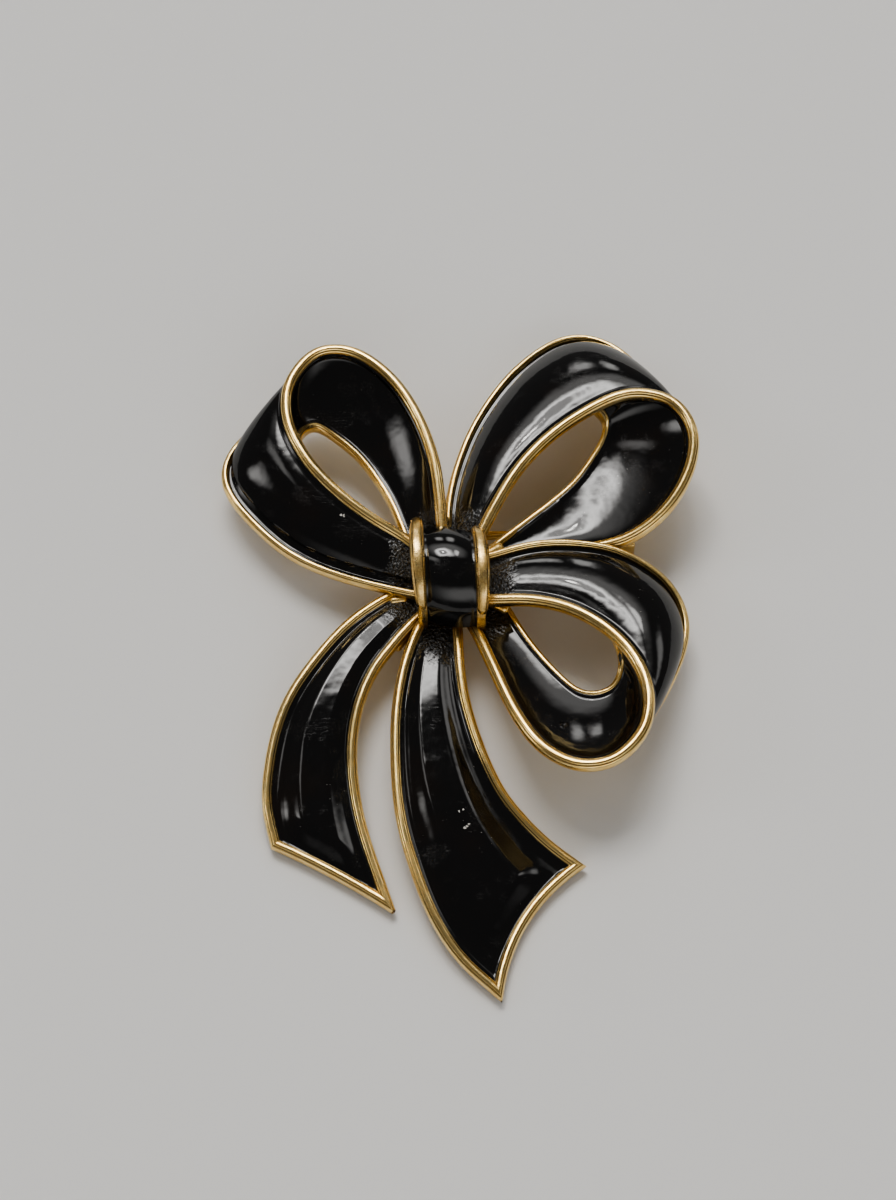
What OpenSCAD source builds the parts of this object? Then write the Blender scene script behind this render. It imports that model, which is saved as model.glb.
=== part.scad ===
/* [Bow] */
// Height of the middle of the front rims at the loops' tips, above the surface the brooch lies on
front_h = 7.2; // [6.4:0.1:8.4]
// Height of the middle of the back rims above that surface
back_h = 3.1; // [2.9:0.1:3.6]
// Place of the knot's middle along X, from the middle of the brooch
knot_x = -0.9; // [-3:0.1:3]
// Place of the knot's middle along Y, from the middle of the brooch
knot_y = 5.2; // [2:0.1:8]

/* [Upper left loop] */
// Length from the knot's middle to the tip
ul_reach = 23.6; // [22:0.1:26]
// Direction, anticlockwise from +X
ul_aim = 124; // [121:0.5:126]

/* [Upper right loop] */
// Length from the knot's middle to the tip
ur_reach = 25; // [23:0.1:27]
// Direction, anticlockwise from +X
ur_aim = 40; // [38:0.5:43]

/* [Lower right loop] */
// Length from the knot's middle to the tip
lr_reach = 22.5; // [21:0.1:24]
// Direction, anticlockwise from +X
lr_aim = -42; // [-44:0.5:-39]

/* [Tails] */
// Length of the left tail from the knot's middle
left_tail_len = 27; // [24:0.1:29]
// Direction of the left tail, anticlockwise from +X
left_tail_aim = -115; // [-118:0.5:-113]
// Length of the right tail from the knot's middle
right_tail_len = 36; // [32:0.1:38]
// Direction of the right tail, anticlockwise from +X
right_tail_aim = -80; // [-82:0.5:-78]

/* [Rims] */
// Width of the front rims
front_rim_w = 1.05; // [0.9:0.05:1.2]
// Depth of the front rims
front_rim_t = 1.3; // [1.1:0.05:1.4]
// Width of the back rims
back_rim_w = 0.75; // [0.6:0.05:0.9]
// Width of the tails' rims
tail_rim_w = 0.95; // [0.8:0.05:1.1]
// Depth of the back rims and the tails' rims
back_rim_t = 1.2; // [1:0.05:1.3]

/* [Ribbon] */
// Thickness of the cast metal under the enamel
plate_t = 0.45; // [0.4:0.05:0.6]
// Thickness of the enamel at its edges
enamel_t = 0.45; // [0.35:0.05:0.5]
// Height of the enamel's edge over the line that joins the middles of its two rims
enamel_lift = 0.25; // [0.15:0.05:0.35]
// Rounding of the loops' outer faces, as a share of the ribbon's width
outer_crown = 0.11; // [0.07:0.01:0.14]
// Hollow of the loops' inner faces, as a share of the ribbon's width
inner_hollow = 0.03; // [0:0.01:0.05]
// Rounding of the tails, as a share of their width
tail_crown = 0.09; // [0.06:0.01:0.12]
// Gap between the enamel and the metal round it
seat_gap = 0.07; // [0.06:0.01:0.09]

/* [Knot] */
// Width of the knot across its two rims
knot_w = 6.8; // [6.2:0.1:7.4]
// Length of the knot along the tails, across its enamel
knot_len = 9; // [8.4:0.1:9.6]
// Height of the knot's enamel at its crown, above the surface the brooch lies on
knot_h = 9.1; // [8.4:0.1:9.6]
// Turn of the knot's rounded back, clockwise seen from the front
knot_turn = 7; // [4:1:10]
// Lean of the knot's rims, anticlockwise seen from the front
knot_lean = 3; // [0:1:6]
// How far the knot sits up from the place where the ribbons cross
knot_shift = 0.3; // [0:0.1:0.6]
// Widest part of the knot's rims
knot_rim_w = 1.3; // [1:0.05:1.4]
// How far the knot's rims stand over its enamel
knot_rim_rise = 0.4; // [0.3:0.05:0.6]
// Thickness of the knot's enamel
knot_enamel_t = 0.7; // [0.5:0.05:0.9]

/* [Pin] */
// Diameter of the pin stem
stem_d = 0.8; // [0.7:0.05:0.9]
// Length from the hinge's middle to the catch's middle
pin_len = 27.9; // [26:0.1:30]
// Place of the stem along Y, from the knot's middle
stem_y = 6.5; // [5.6:0.1:7]
// Place of the hinge's middle along X, from the knot's middle
hinge_x = -12.8; // [-13.4:0.1:-12]
// Height of the stem's axis above the surface the brooch lies on
stem_h = 1.25; // [1.1:0.05:1.35]
// Length of the hinge and of the catch along Y
fitting_l = 3.2; // [2.8:0.1:3.6]
// Width of the hinge and of the catch along X
fitting_w = 2.2; // [1.8:0.1:2.6]
// Height of the hinge and of the catch
fitting_h = 2.25; // [2.1:0.05:2.4]

/* [Hidden] */

GILT = "#d6a94b";
BLACK = "#101012";

// Height of the middle of the tails' rims at their tips, where the metal touches the surface
tip_h = max(back_rim_t / 2, enamel_t + plate_t + seat_gap - enamel_lift);
// Radius of the knot's arch of enamel, and the height of the arch's centre
knot_r = knot_len / 2;
knot_mid_h = knot_h - knot_r;
// Half of the knot between its two rims
knot_half = knot_w / 2 - knot_rim_w;
// Height of the knot's flat underside
knot_base_h = back_h - back_rim_t / 2;
// How far under the line between the rims the solder of the hinge meets the ribbon, and the
// solder of the catch, which lies under a hollow wall
hinge_drop = enamel_t;
catch_drop = enamel_t + plate_t;

// Steps between two rows of a table, and along a tail's cut end
STEPS = 2;
END_STEPS = 6;
// Least share of a step between the end of a piece and the next section
APART = 0.15;
// Corners round a front rim, round a back rim, round the knot's arch, round the ends of a web and
// of the solder, and round the pin stem
FRONT_SIDES = 8;
BACK_SIDES = 6;
ROLLER_SIDES = 40;
WEB_SIDES = 6;
SOLDER_SIDES = 8;
STEM_SIDES = 48;
// Least cosine of half the turn between two legs of a rim
LEAST_TURN = 0.5;
// Power at which the bow of a tail's cut end grows along the tail
BOW_GROWTH = 4;
// Pace of the front rim beside the last two rows of an outer rim
END_PACE = 0.6;
// How many rows before the end of an outer rim the enamel beside it stops
OUTER_END = 1;
// How many rows before a tail's cut end its enamel stops, on its left and on its right
END_ROWS = [0.3, 0.4];
// Where the knot's rims run from and to, in degrees round the arch, and their steps
KNOT_RIM_FROM = -20;
KNOT_RIM_TO = 155;
KNOT_RIM_STEP = 12.5;
// How much further the left rim of the knot stands up
KNOT_LEFT_EXTRA = 0.2;
// How far over the arch's centre the knot's enamel ends at its far end
KNOT_FAR_LIP = 1.6;
// Width of the knot's rims at the arch's ends, as a share of their widest part
KNOT_RIM_END = 0.45;
// How far the knot's flanks reach under its rims, and its core, as shares of the rims' width
FLANK_REACH = 0.6;
CORE_REACH = 0.3;
// Step between faces of the knot's metal, so that no two lie in one plane
STEP = 0.1;

// Loop rims: each row is [along, aside, up]. Along and aside are hundredths of the loop's reach,
// up is hundredths of the way from the back rims' height to the front rims' height. The outer
// rims' rows end with hundredths of the outer faces' rounding.
UL_FRONT = [
    [16, 1.5, 36], [24, 4, 43], [35.5, 10, 61], [50, 15, 75], [67, 17.5, 86],
    [84, 15, 93], [97.5, 6, 98], [103.5, -9.5, 100], [96, -21.5, 100], [79.5, -27, 97],
    [61, -26.5, 91], [42, -21.5, 82], [26, -13.5, 70], [13, -6, 52]
];
UL_OUTER = [
    [2, 9, 14, 60], [7, 14.5, 14, 60], [24, 28.5, 9, 90], [41, 38.5, 3, 100], [59, 43.5, 0, 100],
    [81.5, 44.5, 0, 80], [94, 33.5, 3, 40], [99.5, 6.5, 14, 20], [102.5, -11, 62, 0]
];
UL_INNER = [
    [77, 16, 84], [82, 10, 52], [82.5, 4, 34], [76, 0, 20], [65, -3, 13],
    [54, -3.5, 9], [41.5, -2.5, 7], [29, 0.5, 7], [20, 3, 7]
];
UR_FRONT = [
    [12.3, 3.4, 47], [20, 6.5, 57], [32, 11.5, 71], [45.5, 16, 82], [61, 18, 91],
    [78, 17, 96], [93, 12.5, 100], [102, 1, 100], [100, -12.5, 95], [89.5, -22.5, 82],
    [74, -28, 62], [58.5, -26.5, 35], [46, -19, 14], [33, -10.5, 7], [20, -3.5, 4], [10, 0, 4]
];
UR_OUTER = [
    [9, 12.5, 16, 60], [14.5, 18, 14, 60], [22, 26, 9, 80], [34.5, 36, 4, 100],
    [52.4, 46.1, 0, 100], [76.2, 53.1, 0, 100], [99.1, 51.3, 0, 80], [109.6, 35, 1, 40],
    [105.5, 7, 22, 20], [99.5, -13, 60, 0]
];
UR_INNER = [
    [81, 17, 88], [83, 13.5, 48], [79.5, 9.5, 28], [70, 6, 15], [60, 3.5, 9],
    [49.5, 3, 4], [40, 3, 2], [30, 3, 1], [21, 3, 0], [12, 3, 0]
];
LR_FRONT = [
    [12, -1, 46], [19.5, 4.5, 57], [30.5, 13, 68], [44, 19, 79], [59.5, 21, 88],
    [75, 18.5, 95], [88.5, 11, 98], [97.5, -2, 98], [97.5, -18, 95], [88.5, -28.5, 89],
    [73, -31, 77], [55, -25.5, 61], [36.5, -16, 43], [22.5, -8.5, 24], [12, -3.5, 5]
];
LR_OUTER = [
    [-1, 11, 38, 60], [4.5, 18.5, 40, 60], [13, 32.5, 40, 80], [25, 44.5, 38, 100],
    [40.5, 54, 30, 100], [61, 56.8, 14, 100], [78, 47.5, 4, 60], [88.5, 24.5, 11, 30],
    [96, -5.5, 60, 0]
];
LR_INNER = [
    [65, 20.5, 84], [71.2, 17.8, 45], [74.8, 10, 25], [72, 3, 17], [65, -1, 12],
    [54.5, -0.5, 9], [43, 1.5, 7], [32, 4.5, 7], [21, 8.5, 7], [12, 11, 7]
];

// Tails: each row is [along, aside, up] of the left rim, then of the right rim. Along and aside
// are hundredths of the tail's length, up is hundredths of the way from the tip to the back rims.
LEFT_TAIL = [
    [4, -12, 84, 9, -3, 100], [12, -17.5, 98, 16, -5.5, 108], [24, -23.5, 100, 27, -8, 108],
    [39, -27.5, 92, 38, -9.5, 100], [55, -29.5, 76, 51.5, -8, 88], [70, -27.5, 56, 66, -2.5, 66],
    [87, -21.5, 28, 82.5, 8.5, 34], [98.4, -12.8, 0, 101.4, 26.6, 0]
];
RIGHT_TAIL = [
    [3, -4, 108, 4, 0.5, 108], [8.5, -8.5, 108, 11, 0, 108], [17.5, -13.5, 108, 19, -1, 108],
    [29, -17.5, 104, 27, -1.5, 104], [42.5, -20, 92, 35.5, -1, 92], [55, -21, 80, 45, 0.5, 80],
    [67, -20, 60, 53.5, 3, 60], [79.5, -17.5, 36, 60.5, 7, 36], [90, -13, 14, 66.5, 11.5, 14],
    [98.8, -6.3, 0, 72.2, 16.9, 0]
];
// How far the middle of each tail's cut end lies short of the straight line between its corners
LEFT_END_BOW = 0.2;
RIGHT_END_BOW = 1.3;

// Cast webs beside the knot: each row is [x, y, z] of one end and of the other, from the knot's
// middle, and the web's thickness
WEBS = [
    [-0.5, 4.6, 4.0, -0.5, 6.4, 3.8, 1.3],
    [-3.9, -0.85, 3.1, -4.8, -0.95, 3.0, 0.8],
    [-2.9, -3.2, 3.1, -4.4, -5.2, 2.8, 0.9],
    [1.9, -3.2, 3.1, 2.3, -3.8, 3.1, 1.0],
    [3.2, -1.4, 3.9, 4.7, -2.2, 3.9, 0.8],
    [3.3, 3.0, 4.0, 4.2, 3.7, 3.8, 1.2]
];
// Rows of the upper left loop's front and outer rims over the hinge, and rows of the upper right
// loop's front and inner rims over the catch
HINGE_ROW = 3.4;
CATCH_ROWS = [10.8, 4.8];

// Rows between which the enamel of each wall and tail runs, as its module takes them
UL_OUTER_START = [1, 1];
UR_OUTER_START = [1.2, 0.8];
LR_OUTER_START = [1, 1.1];
UL_INNER_START = 0.6;
UL_INNER_END = [7.3, 7];
UR_INNER_START = 0.5;
UR_INNER_END = [8, 8];
LR_INNER_START = 2.6;
LR_INNER_END = [7.8, 7.4];
LEFT_TAIL_START = 1;
RIGHT_TAIL_START = 1.3;

// Sections of the enamel from the front rim to the back rim: each row is [across, crown, lift].
// Across is a share of the enamel's width, crown a share of its rounding, lift a share of its
// edge thickness over its edge. The first list is the face, the second the underside.
OUTER_FACE = [
    [0, 0, 0], [0.15, 0.6, 0], [0.33, 0.93, 0], [0.55, 1, 0], [0.73, 0.8, 0], [0.82, 0.5, 0],
    [0.87, 0, -0.2], [1, 0, -0.2]
];
OUTER_SEAT = [[1, 0, -1], [0.7, 0.6, -1], [0.3, 0.75, -1], [0, 0, -1]];
INNER_FACE = [[0, 0, 0], [0.2, 0.7, 0], [0.5, 1, 0], [0.8, 0.7, 0], [1, 0, 0]];
INNER_SEAT = [[1, 0, -1], [0.5, 1, -1], [0, 0, -1]];
TAIL_FACE = [
    [0, 0, 0], [0.12, 0.05, -0.2], [0.2, 0.5, 0], [0.38, 0.95, 0], [0.62, 0.95, 0],
    [0.8, 0.5, 0], [0.88, 0.05, -0.2], [1, 0, 0]
];
TAIL_SEAT = [
    [1, 0, -1], [0.8, 0.45, -1], [0.62, 0.85, -1], [0.38, 0.85, -1], [0.2, 0.45, -1], [0, 0, -1]
];
// Ribbons narrower than this are thinned by the square of their width
FULL_W = 4;
// How much wider a front rim is taken to be where the enamel beside it twists
ALLOWANCE = 0.15;
// Least share of the way between two rims that a ribbon's enamel spans
LEAST_SHARE = 0.02;
// Least sine of the angle between a ribbon's slope and its rim
LEAST_SLOPE = 0.3;
// How far a plate is rooted in its first rim, past the rim's middle, and how much of its
// thickness it keeps in its last rim
ROOT = 0.15;
ROOT_T = 0.7;

function unit(v) = v / norm(v);
function backwards(list) = [for (i = [len(list) - 1:-1:0]) list[i]];

// Smooth curve through the rows of a table, at row number u
function row_at(rows, i) =
    i < 0 ? 2 * rows[0] - rows[1]
    : i >= len(rows) ? 2 * rows[len(rows) - 1] - rows[len(rows) - 2]
    : rows[i];
function curve(rows, u) =
    let (i = min(floor(u), len(rows) - 2), f = u - i,
         a = row_at(rows, i - 1), b = rows[i], c = rows[i + 1], d = row_at(rows, i + 2))
    b + f * (c - a) / 2 + f * f * (a - 2.5 * b + 2 * c - d / 2)
      + f * f * f * (1.5 * (b - c) + (d - a) / 2);

// Place in the brooch of a row of shares, for a part that leaves the knot in the direction aim
function from_knot(along, aside, aim, height) =
    [knot_x + along * cos(aim) - aside * sin(aim),
     knot_y + along * sin(aim) + aside * cos(aim), height];
function loop_place(row, reach, aim) =
    from_knot(row[0] / 100 * reach, row[1] / 100 * reach, aim,
              back_h + row[2] / 100 * (front_h - back_h));
function tail_place(along, aside, up, length, aim) =
    from_knot(along / 100 * length, aside / 100 * length, aim,
              tip_h + up / 100 * (back_h - tip_h));

// Row numbers between two rows at which sections are cut, without and with the two ends
function between(u0, u1) =
    [for (k = [ceil(u0 * STEPS + APART):floor(u1 * STEPS - APART)]) k / STEPS];
function stops(u0, u1) = concat([u0], between(u0, u1), [u1]);

// Points of a loop's rim at the given rows
function loop_rail(rows, stops, reach, aim) =
    [for (u = stops) loop_place(curve(rows, u), reach, aim)];

// Direction of a path at point i, and how much wider a rim is cut there to turn the corner
function leg(path, i) = unit(path[i + 1] - path[i]);
function heading(path, i) =
    let (last = len(path) - 2)
    unit(leg(path, max(i - 1, 0)) + leg(path, min(i, last)));
function mitre(path, i) =
    let (last = len(path) - 2)
    1 / max(leg(path, min(i, last)) * heading(path, i), LEAST_TURN);

// Oval rings of a rim along a path
function rim_rings(path, w, t, sides) =
    [for (i = [0:len(path) - 1])
        let (along = heading(path, i), side = unit(cross([0, 0, 1], along)),
             up = cross(along, side), half_w = w / 2 * mitre(path, i))
        [for (j = [0:sides - 1])
            let (a = 360 * (j + 0.5) / sides)
            path[i] + side * (half_w * cos(a)) + up * (t / 2 * sin(a))]];

// Distance from point i of a rim's middle, along a ribbon's slope, at which the ribbon's upright
// edge clears the rim before and after that point
function rim_half(path, i, w, t, slope, normal) =
    max([for (k = [max(i - 1, 0), min(i, len(path) - 2)])
        let (along = leg(path, k), edge = unit(cross(along, normal)),
             side = unit(cross([0, 0, 1], along)), up = cross(along, side))
        (norm([w / 2 * (edge * side), t / 2 * (edge * up)]) + seat_gap)
            / max(abs(slope * edge), LEAST_SLOPE)]);

// Sections of a ribbon between two rims. Each row of the section is [across, crown, lift].
// side says which way the ribbon faces, crowns has the rounding of each section, drop and metal
// lower it by a gap and by a thickness, and bows carries the middle of each section.
function ribbon_rings(a_rim, b_rim, side, crowns, a_w, a_t, b_w, section, drop, metal,
                      bows = []) =
    [for (i = [0:len(a_rim) - 1])
        let (w = norm(b_rim[i] - a_rim[i]), across = (b_rim[i] - a_rim[i]) / w,
             along = unit(heading(a_rim, i) + heading(b_rim, i)),
             normal = side * unit(cross(along, across)),
             a_half = rim_half(a_rim, i, a_w, a_t, across, normal),
             b_half = rim_half(b_rim, i, b_w, back_rim_t, across, normal),
             clear = max(w - a_half - b_half, LEAST_SHARE * w),
             first = (w - clear) * a_half / (a_half + b_half),
             bow = len(bows) > 0 ? bows[i] : [0, 0, 0], thin = min(1, pow(w / FULL_W, 2)))
        [for (q = section)
            let (x = first + clear * q[0], v = x / w,
                 h = (enamel_lift + q[1] * crowns[i] * w + q[2] * enamel_t - metal) * thin
                     - drop)
            a_rim[i] + across * x + bow * (4 * v * (1 - v)) + normal * h]];

// Sections of the metal under a ribbon's enamel, from the middle of one rim to the middle of
// the other
function plate_rings(a_rim, b_rim, side, crowns, a_w, a_t, b_w, seat, bows = []) =
    let (m = len(seat) - 1,
         top = ribbon_rings(a_rim, b_rim, side, crowns, a_w, a_t, b_w, seat, seat_gap, 0, bows),
         low = ribbon_rings(a_rim, b_rim, side, crowns, a_w, a_t, b_w, seat, seat_gap,
                            plate_t, bows))
    [for (i = [0:len(a_rim) - 1])
        let (down = (low[i][0] - top[i][0]) * ROOT_T,
             a = a_rim[i] - unit(b_rim[i] - a_rim[i]) * ROOT)
        [a, for (k = [m:-1:0]) top[i][k], b_rim[i], b_rim[i] + down, each low[i], a + down]];

// Closed solid through rings with the same even number of corners. cross_way chooses the other
// diagonal of each side face.
module skin(rings, cross_way = false) {
    n = len(rings);
    m = len(rings[0]);
    points = [for (r = rings) each r];
    sides = [for (i = [0:n - 2], j = [0:m - 1])
        let (a = i * m + j, b = i * m + (j + 1) % m)
        each cross_way ? [[a, a + m, b], [b, a + m, b + m]] : [[a, b + m, b], [a, a + m, b + m]]];
    start = [for (k = [0:m / 2 - 2])
        each [[k, k + 1, m - 2 - k], [k, m - 2 - k, m - 1 - k]]];
    last = (n - 1) * m;
    finish = [for (f = start) [last + f[2], last + f[1], last + f[0]]];
    polyhedron(points, concat(sides, start, finish), convexity = 8);
}

// Points of the front rim that an outer rim's rows face. Over the outer rim's last two rows the
// front rim goes on at a slower pace.
function facing_rail(front_rows, last, stops, reach, aim) =
    [for (u = stops)
        let (over = max(u - last + 2, 0))
        loop_place(curve(front_rows, u - over * (1 - END_PACE)), reach, aim)];

// Rounding of each section of a loop's outer wall, and of its inner wall
function outer_crowns(rows, stops) = [for (u = stops) outer_crown * curve(rows, u)[3] / 100];
function inner_crowns(stops) = [for (u = stops) -inner_hollow];

// Metal of a loop: its closed front rim, its outer and inner walls and their back rims
module loop_metal(front_rows, outer_rows, inner_rows, reach, aim) {
    last = len(front_rows) - 1;
    outer_last = len(outer_rows) - 1;
    inner_last = len(inner_rows) - 1;
    outer_stops = stops(0, outer_last);
    inner_stops = stops(0, inner_last);
    outer = loop_rail(outer_rows, outer_stops, reach, aim);
    inner = loop_rail(inner_rows, inner_stops, reach, aim);
    over_outer = facing_rail(front_rows, outer_last, outer_stops, reach, aim);
    over_inner = loop_rail(front_rows, stops(last - inner_last, last), reach, aim);
    skin(rim_rings(loop_rail(front_rows, stops(0, last), reach, aim), front_rim_w,
                   front_rim_t, FRONT_SIDES));
    skin(rim_rings(outer, back_rim_w, back_rim_t, BACK_SIDES));
    skin(rim_rings(inner, back_rim_w, back_rim_t, BACK_SIDES));
    skin(backwards(plate_rings(over_outer, outer, 1, outer_crowns(outer_rows, outer_stops),
                               front_rim_w, front_rim_t, back_rim_w, OUTER_SEAT)), true);
    skin(plate_rings(over_inner, inner, -1, inner_crowns(inner_stops), front_rim_w,
                     front_rim_t, back_rim_w, INNER_SEAT), true);
}

// Enamel on a loop's outer wall. It starts at row u0[0] of the front rim and row u0[1] of the
// outer rim, and ends before the outer rim's last row.
module outer_enamel(front_rows, outer_rows, reach, aim, u0) {
    last = len(outer_rows) - 1;
    middle = between(max(u0), last - OUTER_END);
    front_stops = concat([u0[0]], middle, [last - OUTER_END]);
    outer_stops = concat([u0[1]], middle, [last - OUTER_END]);
    over = facing_rail(front_rows, last, front_stops, reach, aim);
    outer = loop_rail(outer_rows, outer_stops, reach, aim);
    color(BLACK)
        skin(backwards(ribbon_rings(over, outer, 1, outer_crowns(outer_rows, outer_stops),
                                    front_rim_w + ALLOWANCE, front_rim_t, back_rim_w,
                                    concat(OUTER_FACE, OUTER_SEAT), 0, 0)));
}

// Enamel on a loop's inner wall, from row u0 of the inner rim to row u1[0] of the front rim,
// counted from the inner rim's first row, and row u1[1] of the inner rim
module inner_enamel(front_rows, inner_rows, reach, aim, u0, u1) {
    k = len(front_rows) - len(inner_rows);
    middle = between(u0, min(u1));
    front_stops = [for (u = concat([u0], middle, [u1[0]])) u + k];
    inner_stops = concat([u0], middle, [u1[1]]);
    over = loop_rail(front_rows, front_stops, reach, aim);
    inner = loop_rail(inner_rows, inner_stops, reach, aim);
    color(BLACK)
        skin(ribbon_rings(over, inner, -1, inner_crowns(inner_stops),
                          front_rim_w + ALLOWANCE, front_rim_t, back_rim_w,
                          concat(INNER_FACE, INNER_SEAT), 0, 0));
}

// Left and right rims of a tail at the given rows
function left_rail(rows, length, aim, stops) =
    [for (u = stops)
        let (r = curve(rows, u))
        tail_place(r[0], r[1], r[2], length, aim)];
function right_rail(rows, length, aim, stops) =
    [for (u = stops)
        let (r = curve(rows, u))
        tail_place(r[3], r[4], r[5], length, aim)];
function tail_crowns(stops) = [for (u = stops) tail_crown];
// How far the middle of each section is carried towards the knot, which grows to the cut end
function tail_bows(left, right, bow, stops, last) =
    [for (i = [0:len(stops) - 1])
        let (cut = right[i] - left[i], back = unit([-cut[1], cut[0], 0]))
        back * (bow * pow(stops[i] / last, BOW_GROWTH))];
function end_rail(left, right, bows) =
    let (last = len(left) - 1, a = left[last], b = right[last])
    [for (k = [1:END_STEPS - 1])
        let (v = k / END_STEPS)
        a + (b - a) * v + bows[last] * (4 * v * (1 - v))];

// Row numbers of a tail's sections from row u0 to the end of its enamel on one side
function tail_stops(u0, last, end) =
    concat([u0], between(u0, last - max(END_ROWS)), [last - end]);

// Metal of a tail: one rim round both sides and the cut end, and the plate inside it
module tail_metal(rows, length, aim, bow) {
    last = len(rows) - 1;
    left_stops = concat(tail_stops(0, last, END_ROWS[0]), [last]);
    right_stops = concat(tail_stops(0, last, END_ROWS[1]), [last]);
    left = left_rail(rows, length, aim, left_stops);
    right = right_rail(rows, length, aim, right_stops);
    bows = tail_bows(left, right, bow, left_stops, last);
    border = concat(left, end_rail(left, right, bows), backwards(right));
    skin(rim_rings(border, tail_rim_w, back_rim_t, FRONT_SIDES));
    skin(backwards(plate_rings(left, right, 1, tail_crowns(left_stops), tail_rim_w,
                               back_rim_t, tail_rim_w, TAIL_SEAT, bows)), true);
}

// Enamel of a tail, from row u0 to the cut end's rim
module tail_enamel(rows, length, aim, bow, u0) {
    last = len(rows) - 1;
    left_stops = tail_stops(u0, last, END_ROWS[0]);
    right_stops = tail_stops(u0, last, END_ROWS[1]);
    left = left_rail(rows, length, aim, left_stops);
    right = right_rail(rows, length, aim, right_stops);
    bows = tail_bows(left, right, bow, left_stops, last);
    color(BLACK)
        skin(backwards(ribbon_rings(left, right, 1, tail_crowns(left_stops), tail_rim_w,
                                    back_rim_t, tail_rim_w, concat(TAIL_FACE, TAIL_SEAT), 0,
                                    0, bows)));
}

// Children in the knot's own place and turn
module at_knot() {
    translate([knot_x, knot_y, 0])
        rotate([0, 0, -knot_turn])
            translate([0, knot_shift, 0])
                children();
}

// Roller across the knot, round the arch's centre
module roller(r, w) {
    translate([-w / 2, 0, knot_mid_h])
        rotate([0, 90, 0])
            cylinder(r = r, h = w, $fn = ROLLER_SIDES);
}

// Upright block between two leaning sides of the knot, from x0 to x1 at its middle
module leaning_block(x0, x1, y, z0, z1) {
    lean = y * tan(knot_turn + knot_lean);
    translate([0, 0, z0])
        linear_extrude(height = z1 - z0)
            polygon([[x0 + lean, -y], [x1 + lean, -y], [x1 - lean, y], [x0 - lean, y]]);
}

// One rim of the knot: a strip that is widest over the crown. way is -1 left, 1 right.
module knot_rim(way, rise) {
    t = knot_rim_w;
    mid_r = knot_r + rise - t / 2;
    lean = tan(knot_turn + knot_lean);
    rings = [for (a = [KNOT_RIM_FROM:KNOT_RIM_STEP:KNOT_RIM_TO])
        let (w = knot_rim_w * (KNOT_RIM_END + (1 - KNOT_RIM_END) * max(sin(a), 0)),
             x = way * (knot_half + w / 2))
        [for (j = [0:FRONT_SIDES - 1])
            let (b = 360 * (j + 0.5) / FRONT_SIDES, r = mid_r + t / 2 * sin(b))
            [x + w / 2 * cos(b) - r * cos(a) * lean, r * cos(a), knot_mid_h + r * sin(a)]]];
    skin(rings);
}

// Solid middle of the knot, with a flank under each rim
module knot_metal() {
    side = knot_half + knot_rim_w * FLANK_REACH;
    inner_side = knot_half + knot_rim_w * CORE_REACH;
    at_knot() {
        intersection() {
            roller(knot_r - knot_enamel_t - seat_gap, 2 * knot_w);
            leaning_block(-inner_side, inner_side, knot_len, knot_base_h + 2 * STEP, knot_h);
        }
        for (way = [-1, 1])
            intersection() {
                roller(knot_r - STEP, 2 * knot_w);
                leaning_block(way < 0 ? -side : knot_half, way < 0 ? -knot_half : side,
                              knot_len, knot_base_h + STEP, knot_h);
            }
        leaning_block(-side + STEP, side - STEP, knot_r - 3 * STEP, knot_base_h,
                      knot_mid_h - seat_gap);
        knot_rim(-1, knot_rim_rise + KNOT_LEFT_EXTRA);
        knot_rim(1, knot_rim_rise);
    }
}

// Rounded cast web from one place to another, both measured from the knot's middle
module web(a, b, d) {
    hull()
        for (p = [a, b])
            translate([knot_x + p[0], knot_y + p[1], p[2]])
                sphere(d = d, $fn = WEB_SIDES);
}

// Solder from a fitting of the pin up to the metal of the ribbon over it, midway between two
// places on the ribbon's rims and the length drop under them
module pad(x, a, b, drop) {
    hull() {
        translate([knot_x + x - fitting_w / 2, knot_y + stem_y - fitting_l / 2,
                   fitting_h + seat_gap])
            cube([fitting_w, fitting_l, plate_t]);
        translate((a + b) / 2 - [0, 0, drop])
            sphere(d = stem_d, $fn = SOLDER_SIDES);
    }
}

module bow_frame() {
    color(GILT) {
        loop_metal(UL_FRONT, UL_OUTER, UL_INNER, ul_reach, ul_aim);
        loop_metal(UR_FRONT, UR_OUTER, UR_INNER, ur_reach, ur_aim);
        loop_metal(LR_FRONT, LR_OUTER, LR_INNER, lr_reach, lr_aim);
        tail_metal(LEFT_TAIL, left_tail_len, left_tail_aim, LEFT_END_BOW);
        tail_metal(RIGHT_TAIL, right_tail_len, right_tail_aim, RIGHT_END_BOW);
        knot_metal();
        for (w = WEBS)
            web([w[0], w[1], w[2]], [w[3], w[4], w[5]], w[6]);
        pad(hinge_x, loop_place(curve(UL_FRONT, HINGE_ROW), ul_reach, ul_aim),
            loop_place(curve(UL_OUTER, HINGE_ROW), ul_reach, ul_aim), hinge_drop);
        pad(hinge_x + pin_len, loop_place(curve(UR_FRONT, CATCH_ROWS[0]), ur_reach, ur_aim),
            loop_place(curve(UR_INNER, CATCH_ROWS[1]), ur_reach, ur_aim), catch_drop);
    }
}

module knot_enamel() {
    side = knot_half - seat_gap;
    color(BLACK)
        at_knot()
            difference() {
                intersection() {
                    roller(knot_r, 2 * knot_w);
                    leaning_block(-side, side, knot_len, knot_mid_h, 2 * knot_h);
                }
                roller(knot_r - knot_enamel_t, 2 * knot_w);
                translate([-knot_w, 0, knot_base_h])
                    cube([2 * knot_w, knot_len, knot_mid_h + KNOT_FAR_LIP - knot_base_h]);
            }
}

module upper_left_outer_enamel() {
    outer_enamel(UL_FRONT, UL_OUTER, ul_reach, ul_aim, UL_OUTER_START);
}

module upper_left_inner_enamel() {
    inner_enamel(UL_FRONT, UL_INNER, ul_reach, ul_aim, UL_INNER_START, UL_INNER_END);
}

module upper_right_outer_enamel() {
    outer_enamel(UR_FRONT, UR_OUTER, ur_reach, ur_aim, UR_OUTER_START);
}

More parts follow.
